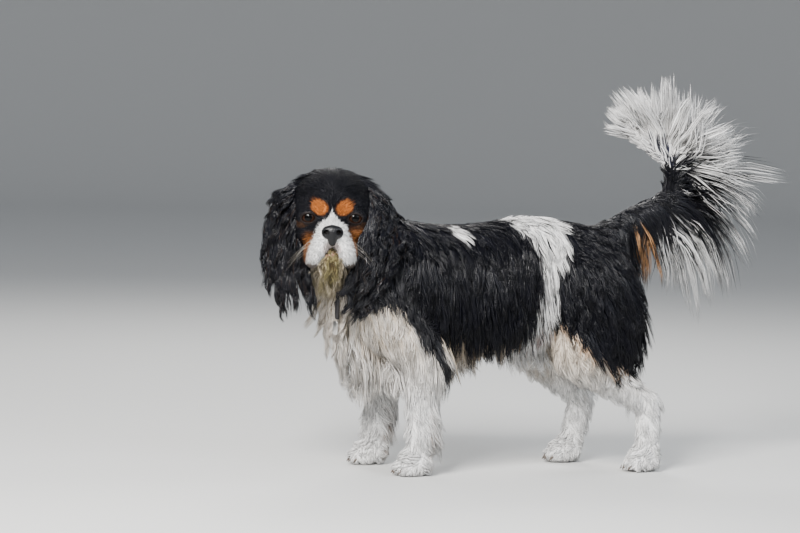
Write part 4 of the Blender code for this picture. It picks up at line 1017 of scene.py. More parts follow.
# %% Solid tufts
PATCH = 0.003  # side of a tuft's patch on the map


def tuft_faces(steps):
    """The triangles of one tuft: three sides between rings, the cap at its root and the tip."""
    faces = [(0, 1, 2)]
    for ring in range(steps - 1):
        for side in range(3):
            a, b = 3 * ring + side, 3 * ring + (side + 1) % 3
            faces += [(a, a + 3, b), (b, a + 3, b + 3)]
    last = 3 * (steps - 1)
    faces += [(last + side, 3 * steps, last + (side + 1) % 3) for side in range(3)]
    return np.array(faces)


def unwrapped(points, heights):
    """Each part of the skin unrolled round its own axis, into its own window of the unit square."""
    window = np.array((0.25, 0.5))
    place = np.zeros((len(points), 2))
    x, y, z = points.T
    for index, part in enumerate(PARTS):
        here = lies_on(heights, part)
        if part == "trunk":
            turn, along = np.arctan2(x, z - 0.235), (y + 0.25) / 0.45
        elif part == "tail":
            mark = tail_place(points)
            middle_z = np.interp(mark, np.arange(len(TAIL_LINE)), TAIL_LINE[:, 1])
            turn, along = np.arctan2(x, middle_z - z + 1e-6), mark / (len(TAIL_LINE) - 1)
        elif part in ("head", "jaw"):
            left, back, up = in_head(points).T
            turn, along = np.arctan2(left, -back), (up + 0.09) / 0.16
        else:
            fore = part.startswith("fore")
            leg = (FORE_LEGS if fore else HIND_LEGS)[part[5:]]
            low, high = (leg["pastern"], leg["elbow"]) if fore else (leg["foot"], leg["knee"])
            axis_y = np.interp(z, [0.0, low[1], high[1]], [leg["paw"], low[0], high[0]])
            stance = FORE_STANCE_X if fore else HIND_STANCE_X
            turn, along = np.arctan2(x - stance * SIDES[part[5:]], axis_y - y), z / 0.28
        corner = np.array((index % 4, index // 4)) * window
        flat = columns(turn / (2 * math.pi) + 0.5, along)
        place[here] = corner + 0.01 + np.clip(flat[here], 0, 1) * (window - 0.02)
    return place


def tuft_mesh(name, lines, outward, half_widths, root_colour, tip_colour, change, map_place):
    """A coat piece from the tufts' lines. The colour goes from root to tip round the share `change`."""
    count, places = lines.shape[:2]
    steps = places - 1
    along = np.linspace(0, 1, places)[:-1]
    wide_share = 0.62 + 0.38 * np.sin(np.pi * np.minimum(along * 1.5 + 0.1, 1))
    wide_share = wide_share * (1 - 0.75 * along**2.2)
    tangent = unit(np.gradient(lines, axis=1))
    across = unit(np.cross(tangent, outward))
    ridge = np.cross(across, tangent)
    tilt = rng.uniform(-0.6, 0.6, count)[:, None, None]
    across, ridge = across * np.cos(tilt) + ridge * np.sin(tilt), ridge * np.cos(tilt) - across * np.sin(tilt)
    wide = across[:, :-1] * (half_widths[:, None] * wide_share)[..., None]
    deep = ridge[:, :-1] * (0.42 * half_widths[:, None] * wide_share)[..., None]
    middle = lines[:, :-1]
    rings = np.stack([middle + wide - 0.5 * deep, middle + 1.5 * deep, middle - wide - 0.5 * deep], axis=2)
    points = np.concatenate([rings.reshape(count, -1, 3), lines[:, -1:]], axis=1)
    own = points.shape[1]
    faces = (tuft_faces(steps)[None] + (np.arange(count) * own)[:, None, None]).reshape(-1, 3)
    piece = mesh_piece(name, points.reshape(-1, 3), faces)
    share = np.append(np.repeat(along, 3), 1.0)[None, :]
    side = np.append(np.tile((0.0, 0.5, 1.0), steps), 0.5)[None, :]
    past = ramp(share, change[:, None] - 0.12, change[:, None] + 0.12)[..., None]
    colours = root_colour[:, None] * (1 - past) + tip_colour[:, None] * past
    set_colour(piece, colours.reshape(-1, 3))
    own_map = columns(side, share)
    set_uv(piece, "OFBake", (own_map * PATCH + map_place[:, None] - PATCH / 2).reshape(-1, 2))
    strands = own_map + np.array((7.0, 3.0)) * rng.random((count, 1, 2))
    set_uv(piece, "strands", strands.reshape(-1, 2))
    print(name, len(faces), "triangles")
    return piece


def varied(colours, amount):
    """Hair is never all of one shade: each tuft is a little lighter or darker."""
    return colours * np.exp(amount * rng.normal(size=(len(colours), 1)))


# %% One piece of the coat
HANG_TURN = 35.0  # degrees from the dog's left to the width of the strap's end and of the tag
STRAP_SIZE = (0.006, 0.0024, 0.025)
TAG_SIZE = (0.0084, 0.0016, 0.0175)
TAG_VIEW = 0.03  # kept free of hair before the tag
COATS = {}


def worn_frame(node):
    """The middle of a worn node, in the dog's own frame, and the directions of its width and thickness."""
    turn = math.radians(HANG_TURN)
    wide = np.array((math.cos(turn), math.sin(turn), 0))
    deep = np.array((-math.sin(turn), math.cos(turn), 0))
    return np.mean(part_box(node), axis=0) - SHIFT, wide, deep


def clear_of_worn(lines):
    """Which tufts pass clear of the strap's end, and of the tag and the room before it."""
    clear = np.ones(len(lines), bool)
    for node, (width, depth, height) in (("collar_strap_end", STRAP_SIZE), ("collar_tag", TAG_SIZE)):
        middle, wide, deep = worn_frame(node)
        offset = lines - middle
        inside = np.abs(offset @ wide) < width / 2 + 0.0014
        before = TAG_VIEW if node == "collar_tag" else 0.0
        inside &= (offset @ deep < depth / 2 + 0.0022) & (offset @ deep > -depth / 2 - 0.0022 - before)
        inside &= np.abs(offset[..., 2]) < height / 2 + 0.002
        clear &= ~inside.any(axis=1)
    return clear


def clear_of_eyes(lines):
    """Which tufts don't cross an opening between the lids."""
    inside = from_nearest(lid_gaps, lines.reshape(-1, 3)) < 0.0002
    return ~inside.reshape(lines.shape[:2]).any(axis=1)


def coat(name, roots, ways, lengths, comb, tips=None, change=None, shades=0.16, wider=1.0, place=None):
    """One piece of the coat, from its roots to its mesh."""
    leader = lock_leaders(roots.points, comb)
    lengths = lengths * rng.uniform(0.8, 1.1, len(lengths)) * rng.uniform(0.8, 1.14, len(lengths))[leader]
    ways = laid_down(ways, roots.normals, 0.85)
    lines, outward = combed(roots, ways, lengths, comb)
    lines = in_locks(lines, outward, lengths, leader, comb)
    colours = varied(roots.colours, shades)
    tips = colours if tips is None else varied(tips, shades)
    change = np.full(len(lengths), 0.5) if change is None else change
    widths = HAIR[name].half_width * wider * rng.uniform(0.7, 1.25, len(lengths))
    place = unwrapped(roots.points, roots.heights) if place is None else place
    keep = clear_of_worn(lines) & clear_of_eyes(lines)
    rows = [row[keep] for row in (lines, outward, widths, colours, tips, change, place)]
    COATS[name] = tuft_mesh(name, *rows)


print("kept free of hair before the tag:", TAG_VIEW, "m")

# %% [markdown]
# ## Materials
#
# Each material is a Principled shader of its own with a small tree of nodes before it. `Number` stands for
# the output of a node, so that arithmetic written with operators builds Math nodes, and `Paint` makes every
# other node with one method that takes its type, its settings and the values of its sockets.

# %% Node trees
class Number:
    """The output of a node. Arithmetic with it adds Math nodes."""

    def __init__(self, tree, socket):
        self.tree = tree
        self.socket = socket

    def math(self, operation, first, second, clamp=False):
        """A Math node on two values, each a number or a node's output."""
        node = self.tree.nodes.new("ShaderNodeMath")
        node.operation = operation
        node.use_clamp = clamp
        plug(self.tree, node.inputs[0], first)
        plug(self.tree, node.inputs[1], second)
        return Number(self.tree, node.outputs[0])

    def __sub__(self, other):
        return self.math("SUBTRACT", self, other)

    def __rsub__(self, other):
        return self.math("SUBTRACT", other, self)

    def __mul__(self, other):
        return self.math("MULTIPLY", self, other)

    __rmul__ = __mul__

    def clamped(self):
        """Kept between 0 and 1."""
        return self.math("ADD", self, 0.0, clamp=True)


def plug(tree, place, value):
    """Links a node's output to a socket, or sets the socket's own value."""
    if isinstance(value, Number):
        tree.links.new(value.socket, place)
    else:
        place.default_value = value


class Paint:
    """One material with its own Principled shader."""

    def __init__(self, name, **values):
        self.material = bpy.data.materials.new(name)
        self.material.use_nodes = True
        self.tree = self.material.node_tree
        self.shader = self.tree.nodes["Principled BSDF"]
        self.set(**values)

    def set(self, **values):
        """Socket names are written with _ for the spaces between their words."""
        for name, value in values.items():
            plug(self.tree, self.shader.inputs[name.replace("_", " ")], value)
        return self

    def node(self, kind, settings, values, output=0):
        """A node of any type: its settings first, then the values or links of its sockets."""
        made = self.tree.nodes.new(kind)
        for name, value in settings.items():
            setattr(made, name, value)
        for name, value in values.items():
            plug(self.tree, made.inputs[name], value)
        return Number(self.tree, made.outputs[output])

    def colours(self):
        """The colour that is stored at the piece's points."""
        return self.node("ShaderNodeAttribute", {"attribute_name": SHADE}, {}, "Color")

    def place(self, uv=None, scale=(1, 1, 1)):
        """The object's own coordinates, or a UV map's, stretched."""
        if uv:
            source = self.node("ShaderNodeUVMap", {"uv_map": uv}, {})
        else:
            source = self.node("ShaderNodeTexCoord", {}, {}, "Object")
        return self.node("ShaderNodeMapping", {}, {"Vector": source, "Scale": scale})

    def noise(self, place, scale, detail=3.0):
        """Soft random spots, so many to a metre."""
        return self.node("ShaderNodeTexNoise", {}, {"Vector": place, "Scale": scale, "Detail": detail})

    def mix(self, share, first, second, blend="MIX"):
        """The first colour where the share is 0, and the second where it is 1."""
        return self.node("ShaderNodeMix", {"data_type": "RGBA", "blend_type": blend}, {
            0: share, 6: first, 7: second}, 2)

    def bump(self, height, depth, strength):
        """A height of the surface, which the shading follows."""
        return self.set(Normal=self.node("ShaderNodeBump", {}, {
            "Height": height, "Distance": depth, "Strength": strength}))

    def mottled(self, pattern, dark, pale):
        """A base colour that goes from dark to pale with a pattern."""
        return self.set(Base_Color=self.mix(pattern, (*dark, 1), (*pale, 1)))

    def streaked(self, pattern, darkening):
        """The points' own colours, darkened by that factor where the pattern is 0."""
        shade = self.colours()
        dark = self.mix(1.0, shade, (darkening, darkening, darkening, 1.0), "MULTIPLY")
        return self.set(Base_Color=self.mix(pattern, dark, shade))


def finished(piece, material, slot, *nodes):
    """Gives a piece its material, puts it on the root body, hides the nodes that it replaces and prints its
    slot.
    """
    piece.data.materials.clear()
    piece.data.materials.append(material)
    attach(piece, "root")
    if nodes:
        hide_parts(*nodes)
    print(piece.name, "is done, as", slot)


def coat_paint(name, roughness, shine):
    """Hair: the tuft's own colour with fine darker streaks along it, and the same streaks as a bump."""
    paint = Paint(name, Roughness=roughness, Specular_IOR_Level=shine)
    fine = paint.noise(paint.place("strands", (7.0, 0.9, 1.0)), 1.0, 2.0)
    paint.streaked(((fine - 0.38) * 3.2).clamped(), 0.55)
    return paint.bump(fine, 0.0006, 0.7).material


def skin_paint(name):
    """The skin under the coat: the coat's colours, a little darker, with short hair as a bump."""
    paint = Paint(name, Roughness=0.6, Specular_IOR_Level=0.2)
    hair = paint.noise(paint.place(scale=(1.0, 1.0, 0.35)), 900.0, 2.0)
    paint.streaked((hair * 1.6 - 0.2).clamped(), 0.45)
    return paint.bump(hair, 0.0008, 0.8).material


FLESH = ("fore", "head", "hind", "lower", "neck", "shank", "tail", "thigh", "torso")
FLESH_NODES = [name for name in frame["nodes"] if name.startswith(FLESH)]
finished(skin, skin_paint("skin"), "white_coat", *FLESH_NODES)
print("the skin stands for", len(FLESH_NODES), "nodes")

# %% [markdown]
# ## The coat, region by region
#
# A region is a density over the skin's triangles, and a length and a way for each root. On the back the hair
# is short and flows to the rear. Down the flanks it grows long and hangs. The fringes under the chest and
# behind the legs, the *feathers*, are longest, and paws and face have the shortest hair.

# %% Roots on the triangles, and the trunk's coat
tx, ty, tz = triangle_middles.T
triangle_normals = unit(crossed_sides)
front_share = ty + FRONT_LEAN * tz  # below -0.033 on the white front, and below 0.012 on neck and shoulders
trunk = on_parts("trunk")


def sideways(points, spread=1.0):
    """-1 on the right side of the body, 1 on the left, and between along its middle."""
    return np.tanh(points[:, 0] / 0.03) * spread


def front_coat():
    """Neck, throat and chest: locks that hang in waves and end in a long fringe."""
    density = trunk * (front_share < 0.012) * (0.6 + 1.0 * (front_share < -0.033))
    roots = scattered("coat_front", density)
    x, y, z = roots.points.T
    _, ny, nz = roots.normals.T
    white = ramp(-(y + FRONT_LEAN * z), 0.03, 0.04)
    nape = ramp(nz, 0.45, 0.8)
    low = ramp(-z, -0.225, -0.175)
    breast = ramp(-ny, 0.2, 0.7)
    ways = columns(sideways(roots.points, 0.25), 0.1 - 0.28 * white - 0.22 * breast * low, -1.0)
    ways = mixed(ways, columns(sideways(roots.points, 0.9), 0.7, -0.5), nape)
    lengths = 0.038 + 0.022 * white + (0.012 + 0.016 * breast) * low
    lengths = mixed(lengths, 0.03, nape)
    roots = seen(roots, ways, lengths)
    white = white * is_pale(roots.colours)
    throat = white * ramp(z, 0.185, 0.24) * (0.25 + 0.75 * ramp(y, -0.258, -0.24))
    colours = mixed(roots.colours, mixed(OLIVE, BROWN, 0.35), 0.8 * throat)
    light = white * rng.uniform(0.25, 0.85, len(x)) * (1 - 0.55 * throat)
    tips = mixed(mixed(roots.colours, CREAM, 0.4 * throat), WHITE, light)
    change = rng.uniform(0.25, 0.55, len(x))
    stray = (rng.random(len(x)) < 0.05) & (white > 0.5) & (z > 0.19)
    colours[stray] = tips[stray] = mixed(BROWN, BLACK, 0.6)
    comb = Comb(7, 0.006 + 0.005 * white, 0.35, 0.0066, 0.033, 0.95, 210)
    coat("coat_front", roots._replace(colours=colours), ways, lengths, comb, tips, change)


# How low the coat hangs below the trunk, as (place along the body, height over the floor).
FRINGE = np.array([
    (-0.11, 0.112), (-0.078, 0.105), (-0.058, 0.112), (-0.04, 0.14), (0.0, 0.149), (0.06, 0.155)])


def flank_coat(side):
    """Back, flank and belly of one side."""
    sign = SIDES[side]
    density = trunk * (front_share >= 0.008) * (ty < 0.088) * (tx * sign >= 0)
    density = density * (1.0 + 0.3 * (np.abs(triangle_normals[:, 2]) < 0.5))
    roots = scattered(f"coat_flank_{side}", density)
    x, y, z = roots.points.T
    nz = roots.normals[:, 2]
    down = 1 - ramp(nz, 0.62, 0.97)
    ways = mixed(columns(0.9 * sign, 0.75, -0.25), columns(0.25 * sign, 0.13, -1.0), down)
    under = ramp(-nz, 0.3, 0.6)
    ways = mixed(ways, columns(0.1 * sign, 0.2, -1.0), under)
    lengths = 0.024 + 0.014 * down + 0.034 * (1 - ramp(nz, -0.1, 0.6))
    lengths = mixed(lengths, 0.052, under)
    chance = rng.random(len(x))
    wisp = chance > 0.95
    room = z - np.interp(y, *FRINGE.T) + 0.026 * wisp + 0.01 * ripple(roots.points, 0.024)
    lengths = np.where(nz < 0.5, np.minimum(lengths, np.maximum(room, 0.012)), lengths)
    roots = seen(roots, ways, lengths)
    colours = roots.colours
    tuft = (np.abs(x) < 0.024) & (np.abs(y - 0.036) < 0.03) & (z < 0.18)
    colours[tuft] = WHITE
    lengths[tuft] = 0.05
    dark = ~is_pale(colours)
    low = ramp(-z, -0.2, -0.18)
    cream = np.interp(y, [-0.09, -0.078, -0.05, -0.038, 0.02], [0.1, 0.85, 0.85, 0.1, 0.25])
    pale = dark * low * (chance < cream)
    tips = mixed(colours, mixed(CREAM, PALE_TAN, 0.25), pale)
    wisps = ~dark & ((chance < 0.1) | wisp) & ~tuft & (y < 0.05)
    colours[wisps] = tips[wisps] = BLACK
    comb = Comb(5, 0.001 + 0.0036 * down, 0.28, 0.0017, 0.032, 0.84, 360)
    coat(f"coat_flank_{side}", roots, ways, lengths, comb, tips)


def rump_coat():
    """Croup and thighs, with long feathers behind."""
    density = trunk * (ty >= 0.082) + on_parts("hind_left", "hind_right") * (tz > 0.118)
    roots = scattered("coat_rump", density)
    x, _, z = roots.points.T
    nx, ny, nz = roots.normals.T
    down = 1 - ramp(nz, 0.55, 0.95)
    rear = ramp(ny, 0.25, 0.75)
    ways = mixed(columns(0.8 * np.sign(x), 0.9, -0.3), columns(0.12 * np.sign(x), 0.42, -1.0), down)
    inner = ramp(-nx * np.sign(x), 0.2, 0.6)
    lengths = 0.024 + 0.026 * down + 0.022 * rear * ramp(-z, -0.3, -0.24)
    lengths = mixed(lengths, 0.02, inner)
    roots = seen(roots, ways, lengths)
    dark = ~is_pale(roots.colours)
    leg = lies_on(roots.heights, "hind_left", "hind_right")
    lengths = np.where(dark | ~leg, lengths, np.minimum(lengths, 0.021))
    wispy = dark & leg & (rear > 0.5) & (rng.random(len(x)) < 0.1)
    lengths[wispy] *= 1.5
    comb = Comb(5, 0.0018 + 0.0042 * down, 0.28, 0.0034, 0.026, 0.86, 280)
    coat("coat_rump", roots, ways, lengths, comb)


front_coat()
flank_coat("left")
flank_coat("right")
rump_coat()

# %% [markdown]
# The legs wear the same tufts as the trunk, only shorter, and their *feathers* stand behind. The plume of the
# tail fans out from a thin core. A fan of a few large blades would look like a leaf, so it has thousands of
# tufts whose lie turns along the tail.


# %% Legs and tail
def leg_coat():
    """Short hair in front, feathers behind, and close hair over the toes."""
    fore = on_parts("fore_left", "fore_right")
    hind = on_parts("hind_left", "hind_right") * (tz <= 0.122)
    near_floor = 1 - ramp(tz, 0.02, 0.05)
    density = (fore + hind) * (tz > 0.003) * (1.0 + 1.3 * near_floor)
    roots = scattered("coat_legs", density)
    x, _, z = roots.points.T
    _, ny, nz = roots.normals.T
    is_fore = lies_on(roots.heights, "fore_left", "fore_right")
    rear = ramp(ny, 0.1, 0.65)
    paw = 1 - ramp(z, 0.026, 0.046)
    fore_lengths = mixed(0.021 + 0.009 * ramp(z, 0.06, 0.13), 0.048, rear * ramp(z, 0.04, 0.066))
    hind_lengths = mixed(0.012 + 0.006 * ramp(z, 0.07, 0.11), 0.022, rear * ramp(z, 0.035, 0.06))
    lengths = mixed(np.where(is_fore, fore_lengths, hind_lengths), 0.0085, paw)
    elbow = ramp(z, 0.085, 0.115)
    back = np.where(is_fore, 0.45 - 0.3 * elbow, 0.25)
    behind = np.where(is_fore, 0.75 - 0.55 * elbow, 0.6)
    ways = mixed(columns(0.1 * np.sign(x), back, -1.0), columns(0.0, behind, -1.0), rear)
    forward = columns(0.0, -1.0, -0.45)
    ways = mixed(ways, forward, paw * ramp(nz, -0.1, 0.4))
    roots = seen(roots, ways, lengths)
    lift = np.where(is_fore, 0.0058, 0.003)
    comb = Comb(4, lift, 0.2, 0.0022, 0.017, 0.74, 560)
    tips = mixed(roots.colours, WHITE, 0.35 * is_pale(roots.colours))
    coat("coat_legs", roots, ways, lengths, comb, tips)


WHITE_FROM = 4.55  # where the plume turns white, counted in points of the tail's line
# The plume's length at each of those points.
PLUME_LENGTHS = [0.062, 0.108, 0.178, 0.172, 0.163, 0.127, 0.098, 0.074]


def tail_coat():
    """The plume: the hair fans out from the outer side of the tail and is longest near its bend."""
    roots = scattered("coat_tail", on_parts("tail") * (1 + 3.6 * ramp(tz, 0.382, 0.405)))
    marks = tail_place(roots.points)
    table = np.arange(len(TAIL_LINE))
    lie = np.radians(np.interp(marks, table, TAIL_LINE[:, 3]))
    dip = 44 * rng.random(len(marks)) * ramp(marks, 4.3, 4.5) * (1 - ramp(marks, 4.9, 5.3))
    lie = lie - np.radians(dip)
    fan = columns(0.0, np.cos(lie), np.sin(lie))
    outer = ramp((roots.normals * fan).sum(axis=1), -0.55, 0.25)
    along = unit(np.diff(TAIL_LINE[:, :2], axis=0))[np.minimum(marks.astype(int), 6)]
    along = columns(0.0, along[:, 0], along[:, 1])
    splay = rng.uniform(-0.26, 0.26, len(marks))
    fall = np.interp(marks, [0.5, 2.2, 3.2, 4.0, 4.8], [3.4, 3.2, 1.7, 0.6, 0.05])
    onward = np.interp(marks, [0.9, 1.5, 2.3, 3.4, 4.4], [0.05, 0.3, 0.75, 0.5, 0.05])
    start = fan + columns(splay, 0, 0) + onward[:, None] * along
    ways = mixed(along + 0.3 * roots.normals, start, outer)
    lengths = mixed(0.02, np.interp(marks, table, PLUME_LENGTHS), outer) * rng.uniform(0.72, 1.0, len(marks))
    chance = rng.random(len(marks))
    colours = roots.colours.copy()
    tips = colours.copy()
    change = rng.uniform(0.7, 0.86, len(marks))
    tipped = (marks > 1.45) & (marks < WHITE_FROM) & (outer > 0.75)
    tips[tipped & (chance < 0.85)] = WHITE * 0.95
    silver = (marks > 1.5) & (marks < 2.5) & (chance < 0.7)
    change[silver] = rng.uniform(0.24, 0.5, silver.sum())
    upper = (marks > 4.0) & (marks < WHITE_FROM) & (chance < 0.9)
    change[upper] = rng.uniform(0.12, 0.4, upper.sum())
    tan = (marks > 0.95) & (marks < 1.45) & (roots.normals[:, 2] < 0.1) & (chance < 0.8)
    lengths[tan] *= 0.74
    change[tan] = rng.uniform(0.08, 0.22, tan.sum())
    tips[tan] = mixed(PALE_TAN, TAN, 0.15) * 0.78
    stray = (marks > WHITE_FROM) & (chance > 0.985)
    pale = (marks >= WHITE_FROM) & ~stray
    colours[pale] = mixed(WHITE, CREAM, 0.08)
    tips[pale] = WHITE
    change[pale] = 0.5
    dipped = pale & (dip > 15)
    colours[dipped] = BLACK
    change[dipped] = rng.uniform(0.36, 0.6, dipped.sum())
    edge = (marks > 4.6) & (marks < 6.2) & (outer < 0.4) & (chance < 0.35)
    colours[edge] = tips[edge] = BLACK * 6
    roots = roots._replace(colours=colours)
    comb = Comb(6, 0.003, fall, 0.0042, 0.055, 0.86, 240)
    coat("coat_tail", roots, ways, lengths, comb, tips, change, wider=1 + 0.6 * pale)


leg_coat()
tail_coat()

# %% [markdown]
# On the face the hair is a few millimetres long and shows the shape of the skull, so it has to be fine and
# close. It starts at the nose and flows back round the eyes. No tuft may cross an eye, or its glint is lost.

# %% Face and skull
NOSE_ROOM, LID_ROOM = 0.0005, 0.001  # bare edges round the nose and round the openings of the lids

triangle_back = in_head(triangle_middles)[:, 1]
front_of_head = ramp(-triangle_back, -0.012, 0.012)
nose_clear = from_nearest(NOSE, triangle_middles) > NOSE_ROOM
eye_clear = from_nearest(lid_gaps, triangle_middles) > LID_ROOM


def face_coat():
    """Close hair that lies away from the nose, round the eyes and back over the cheeks."""
    density = on_parts("head") * front_of_head * nose_clear * eye_clear
    roots = scattered("coat_face", density)
    local = in_head(roots.points)
    left, _, up = local.T
    away = unit(local - NOSE_PLACE)
    down = columns(0.35 * np.tanh(left / 0.012), 0.25, -1.0)
    lip = ramp(-up, 0.03, 0.046)
    ways = mixed(away, down, 0.6 * lip)
    crown = ramp(up, 0.02, 0.034)
    ways = turned(mixed(ways, columns(1.1 * np.tanh(left / 0.012), 0.7, 0.0), crown))
    muzzle = 1 - ramp(np.linalg.norm(local - NOSE_PLACE, axis=1), 0.03, 0.06)
    lengths = mixed(0.0105 + 0.004 * crown, 0.0046, muzzle)
    x, y, z = EYE_OPENING["centre"]
    near_eye = np.min([np.linalg.norm(local - (sign * x, y, z), axis=1) for sign in SIDES.values()], axis=0)
    lengths = mixed(lengths, 0.0036, 1 - ramp(near_eye, 0.011, 0.021))
    roots = seen(roots, ways, lengths)
    comb = Comb(3, 0.0012, 0.05, 0.0003, 0.012, 0.4, 1500)
    coat("coat_face", roots, ways, lengths, comb)


def chin_coat():
    """Ragged wavy tufts under the lip, pale at the sides, that run on over the throat."""
    roots = scattered("coat_chin", on_parts("jaw") * (triangle_back < 0.004))
    left, _, up = in_head(roots.points).T
    low = ramp(-up, 0.046, 0.066)
    spread = 0.85 * np.tanh(left / 0.011)
    ways = turned(columns(spread, -0.08 + 0.16 * low, -1.0))
    lengths = 0.009 + 0.039 * low
    pale = ramp(np.abs(left), 0.005, 0.01) * rng.uniform(0.2, 0.9, len(left))
    colours = mixed(mixed(OLIVE, BROWN, 0.6) * 0.45, mixed(OLIVE, CREAM, 0.45) * 0.9, pale)
    colours = mixed(colours, mixed(PINK, BROWN, 0.5), 0.6 * (1 - ramp(-up, 0.0425, 0.048)))
    tips = mixed(OLIVE * 0.66, mixed(CREAM, WHITE, 0.1), pale)
    comb = Comb(6, 0.0025 + 0.003 * low, 0.3, 0.0034, 0.019, 0.8, 170)
    change = rng.uniform(0.2, 0.55, len(left))
    roots = roots._replace(colours=colours)
    coat("coat_chin", roots, ways, lengths, comb, tips, change, shades=0.3)


def skull_coat():
    """Crown, back of the head, cheeks and the ruff under the jaw."""
    density = on_parts("head", "jaw") * (1 - front_of_head)
    roots = scattered("coat_skull", density)
    left, back, up = in_head(roots.points).T
    crown = ramp(up, 0.018, 0.034)
    on_crown = columns(np.tanh(left / 0.012), 0.35, -0.1)
    ways = mixed(columns(0.35 * np.sign(left), 0.35, -1.0), on_crown, crown)
    behind = ramp(back, 0.036, 0.052) * (1 - crown)
    ways = mixed(ways, columns(0.1 * np.sign(left), 0.4, -1.0), behind)
    lengths = 0.018 + 0.012 * behind + 0.008 * ramp(-up, 0.02, 0.04)
    over_ear = crown * ramp(np.abs(left), 0.014, 0.034)
    lengths = mixed(lengths, 0.05, over_ear)
    roots = seen(roots, turned(ways), lengths)
    comb = Comb(4, 0.003 + 0.0095 * over_ear, 0.15, 0.0012, 0.022, 0.65, 420)
    coat("coat_skull", roots, turned(ways), lengths, comb)


face_coat()
chin_coat()
skull_coat()

# %% [markdown]
# ## Ears
#
# The leather of an ear hangs from high on the skull. It is a loft of ellipses whose edges cup in towards the
# head. Its hair grows from both faces, in wavy locks that hang well past its end.

# %% The ears
# The flap's middle line, its half width and half depth, and the way that its outer face looks.
EAR_FLAP = [
    ((0.034, 0.012, 0.04), 0.011, 0.003, (0.3, -0.3, 1.0)),
    ((0.049, 0.008, 0.037), 0.02, 0.003, (0.55, -0.4, 1.0)),
    ((0.06, 0.003, 0.02), 0.027, 0.0028, (1.3, -0.9, 0.6)),
    ((0.063, -0.003, -0.01), 0.03, 0.0026, (1.4, -1.7, 0.3)),
    ((0.059, -0.01, -0.044), 0.03, 0.0024, (1.4, -2.2, 0.2)),
    ((0.052, -0.015, -0.074), 0.02, 0.002, (1.4, -2.2, 0.2)),
]
EAR_CUP = 0.0045
EAR_ROOM = 0.009  # least distance from the flap's middle to the skin below it
EAR_ACROSS, EAR_DOWN = 32, 40


def cleared(points, least):
    """The points moved out of the flesh until each is at least that far from it."""
    for _ in range(5):
        normal = unit(slope_of(flesh_field, points))
        points = points + normal * np.maximum(least - flesh_field(points), 0)[:, None]
    return points


def ear_frame(side):
    """The flap's middle line, its way down, its width direction and its outward normal."""
    sign = SIDES[side]
    points = np.array([HEAD @ Vector((sign * row[0][0], *row[0][1:])) for row in EAR_FLAP])
    points[2:] = cleared(points[2:], EAR_ROOM)
    ways = unit(np.gradient(points, axis=0))
    normals = turned(np.array([(sign * row[3][0], *row[3][1:]) for row in EAR_FLAP]))
    normals = unit(laid_down(normals, ways))
    return points, ways, np.cross(ways, normals), normals


def ear_place(side, marks, turns, stand=0.0):
    """Points on the flap at those marks down it and turns round it, with their way down and their normal."""
    tables = [*ear_frame(side), np.array([(*row[1:3], 0) for row in EAR_FLAP])]
    at = np.arange(len(EAR_FLAP))
    middle, way, across, normal, size = [
        np.stack([np.interp(marks, at, table[:, axis]) for axis in range(3)], axis=1) for table in tables]
    wide = (size[:, 0] + stand) * np.cos(turns)
    deep = (size[:, 1] + stand) * np.sin(turns) - EAR_CUP * np.cos(turns) ** 2
    outward = np.cos(turns)[:, None] * 0.25 * across + np.sin(turns)[:, None] * normal
    return middle + wide[:, None] * across + deep[:, None] * normal, way, across, normal, unit(outward)


def ear_leather(side):
    """The flap, with one rounded end and the other inside the skull."""
    marks = np.linspace(0, len(EAR_FLAP) - 1.001, EAR_DOWN)
    grid_marks, grid_turns = np.repeat(marks, EAR_ACROSS), np.tile(circle(EAR_ACROSS), EAR_DOWN)
    points = ear_place(side, grid_marks, grid_turns)[0]
    middle = points[-EAR_ACROSS:].mean(axis=0)
    closing = []
    for shrink in (0.85, 0.55, 0.15):
        rim = middle + (points[-EAR_ACROSS:] - middle) * shrink
        closing.append(rim + np.array((0, 0, -0.01)) * (1 - shrink**2))
    points = np.concatenate([points, *closing])
    flap = mesh_piece(f"ear_{side}_leather", points, ring_faces(EAR_DOWN + 3, EAR_ACROSS))
    set_colour(flap, np.tile(BLACK, (len(points), 1)))
    finished(flap, skin_paint(f"ear {side} leather"), "black_coat", f"ear_{side}")


def ear_coat(side):
    """Locks on the outer face of the flap, and a few on its inner one."""
    count = HAIR[f"coat_ear_{side}"].count
    marks = 0.2 + (len(EAR_FLAP) - 1.22) * rng.random(count) ** 0.85
    turns = rng.uniform(0.35 if side == "left" else -0.25, math.pi + 0.25, count)
    inside = rng.random(count) < 0.12
    turns[inside] = -rng.uniform(0.3, math.pi - 0.3, inside.sum())
    points, way, across, normal, outward = ear_place(side, marks, turns)
    share = np.cos(turns)[:, None]
    top = 1 - ramp(marks, 0.4, 2.0)
    inward = turned(np.array((-SIDES[side], 0.0, 0.0))) * ramp(marks, 2.5, 4.5)[:, None]
    inward = inward * (0.2 if side == "left" else 1.0)
    ways = way + 0.14 * share * across + 0.1 * normal + top[:, None] * 0.3 * share * across + 0.14 * inward
    lengths = 0.04 + 0.022 * ramp(marks, 1.0, 3.0) + 0.008 * ramp(marks, 3.5, 4.8)
    lengths[inside] *= 0.6
    colours = np.tile(BLACK, (count, 1))
    rusty = rng.random(count) < 0.05
    colours[rusty] = mixed(BLACK, BROWN, 0.12)
    roots = Roots(points, outward, None, colours)
    comb = Comb(8, 0.005, 0.45, 0.0062, 0.029, 0.95, 130)
    flat = np.stack([turns / (2 * math.pi) % 1, marks / len(EAR_FLAP)], axis=1)
    place = np.array((0.02, 0.02)) + flat * 0.96
    coat(f"coat_ear_{side}", roots, ways, lengths, comb, place=place)


for side in SIDES:
    ear_leather(side)
    ear_coat(side)

# %% The coat's materials
for name, hair in HAIR.items():
    finished(COATS[name], coat_paint(name, hair.roughness, hair.shine), hair.slot)

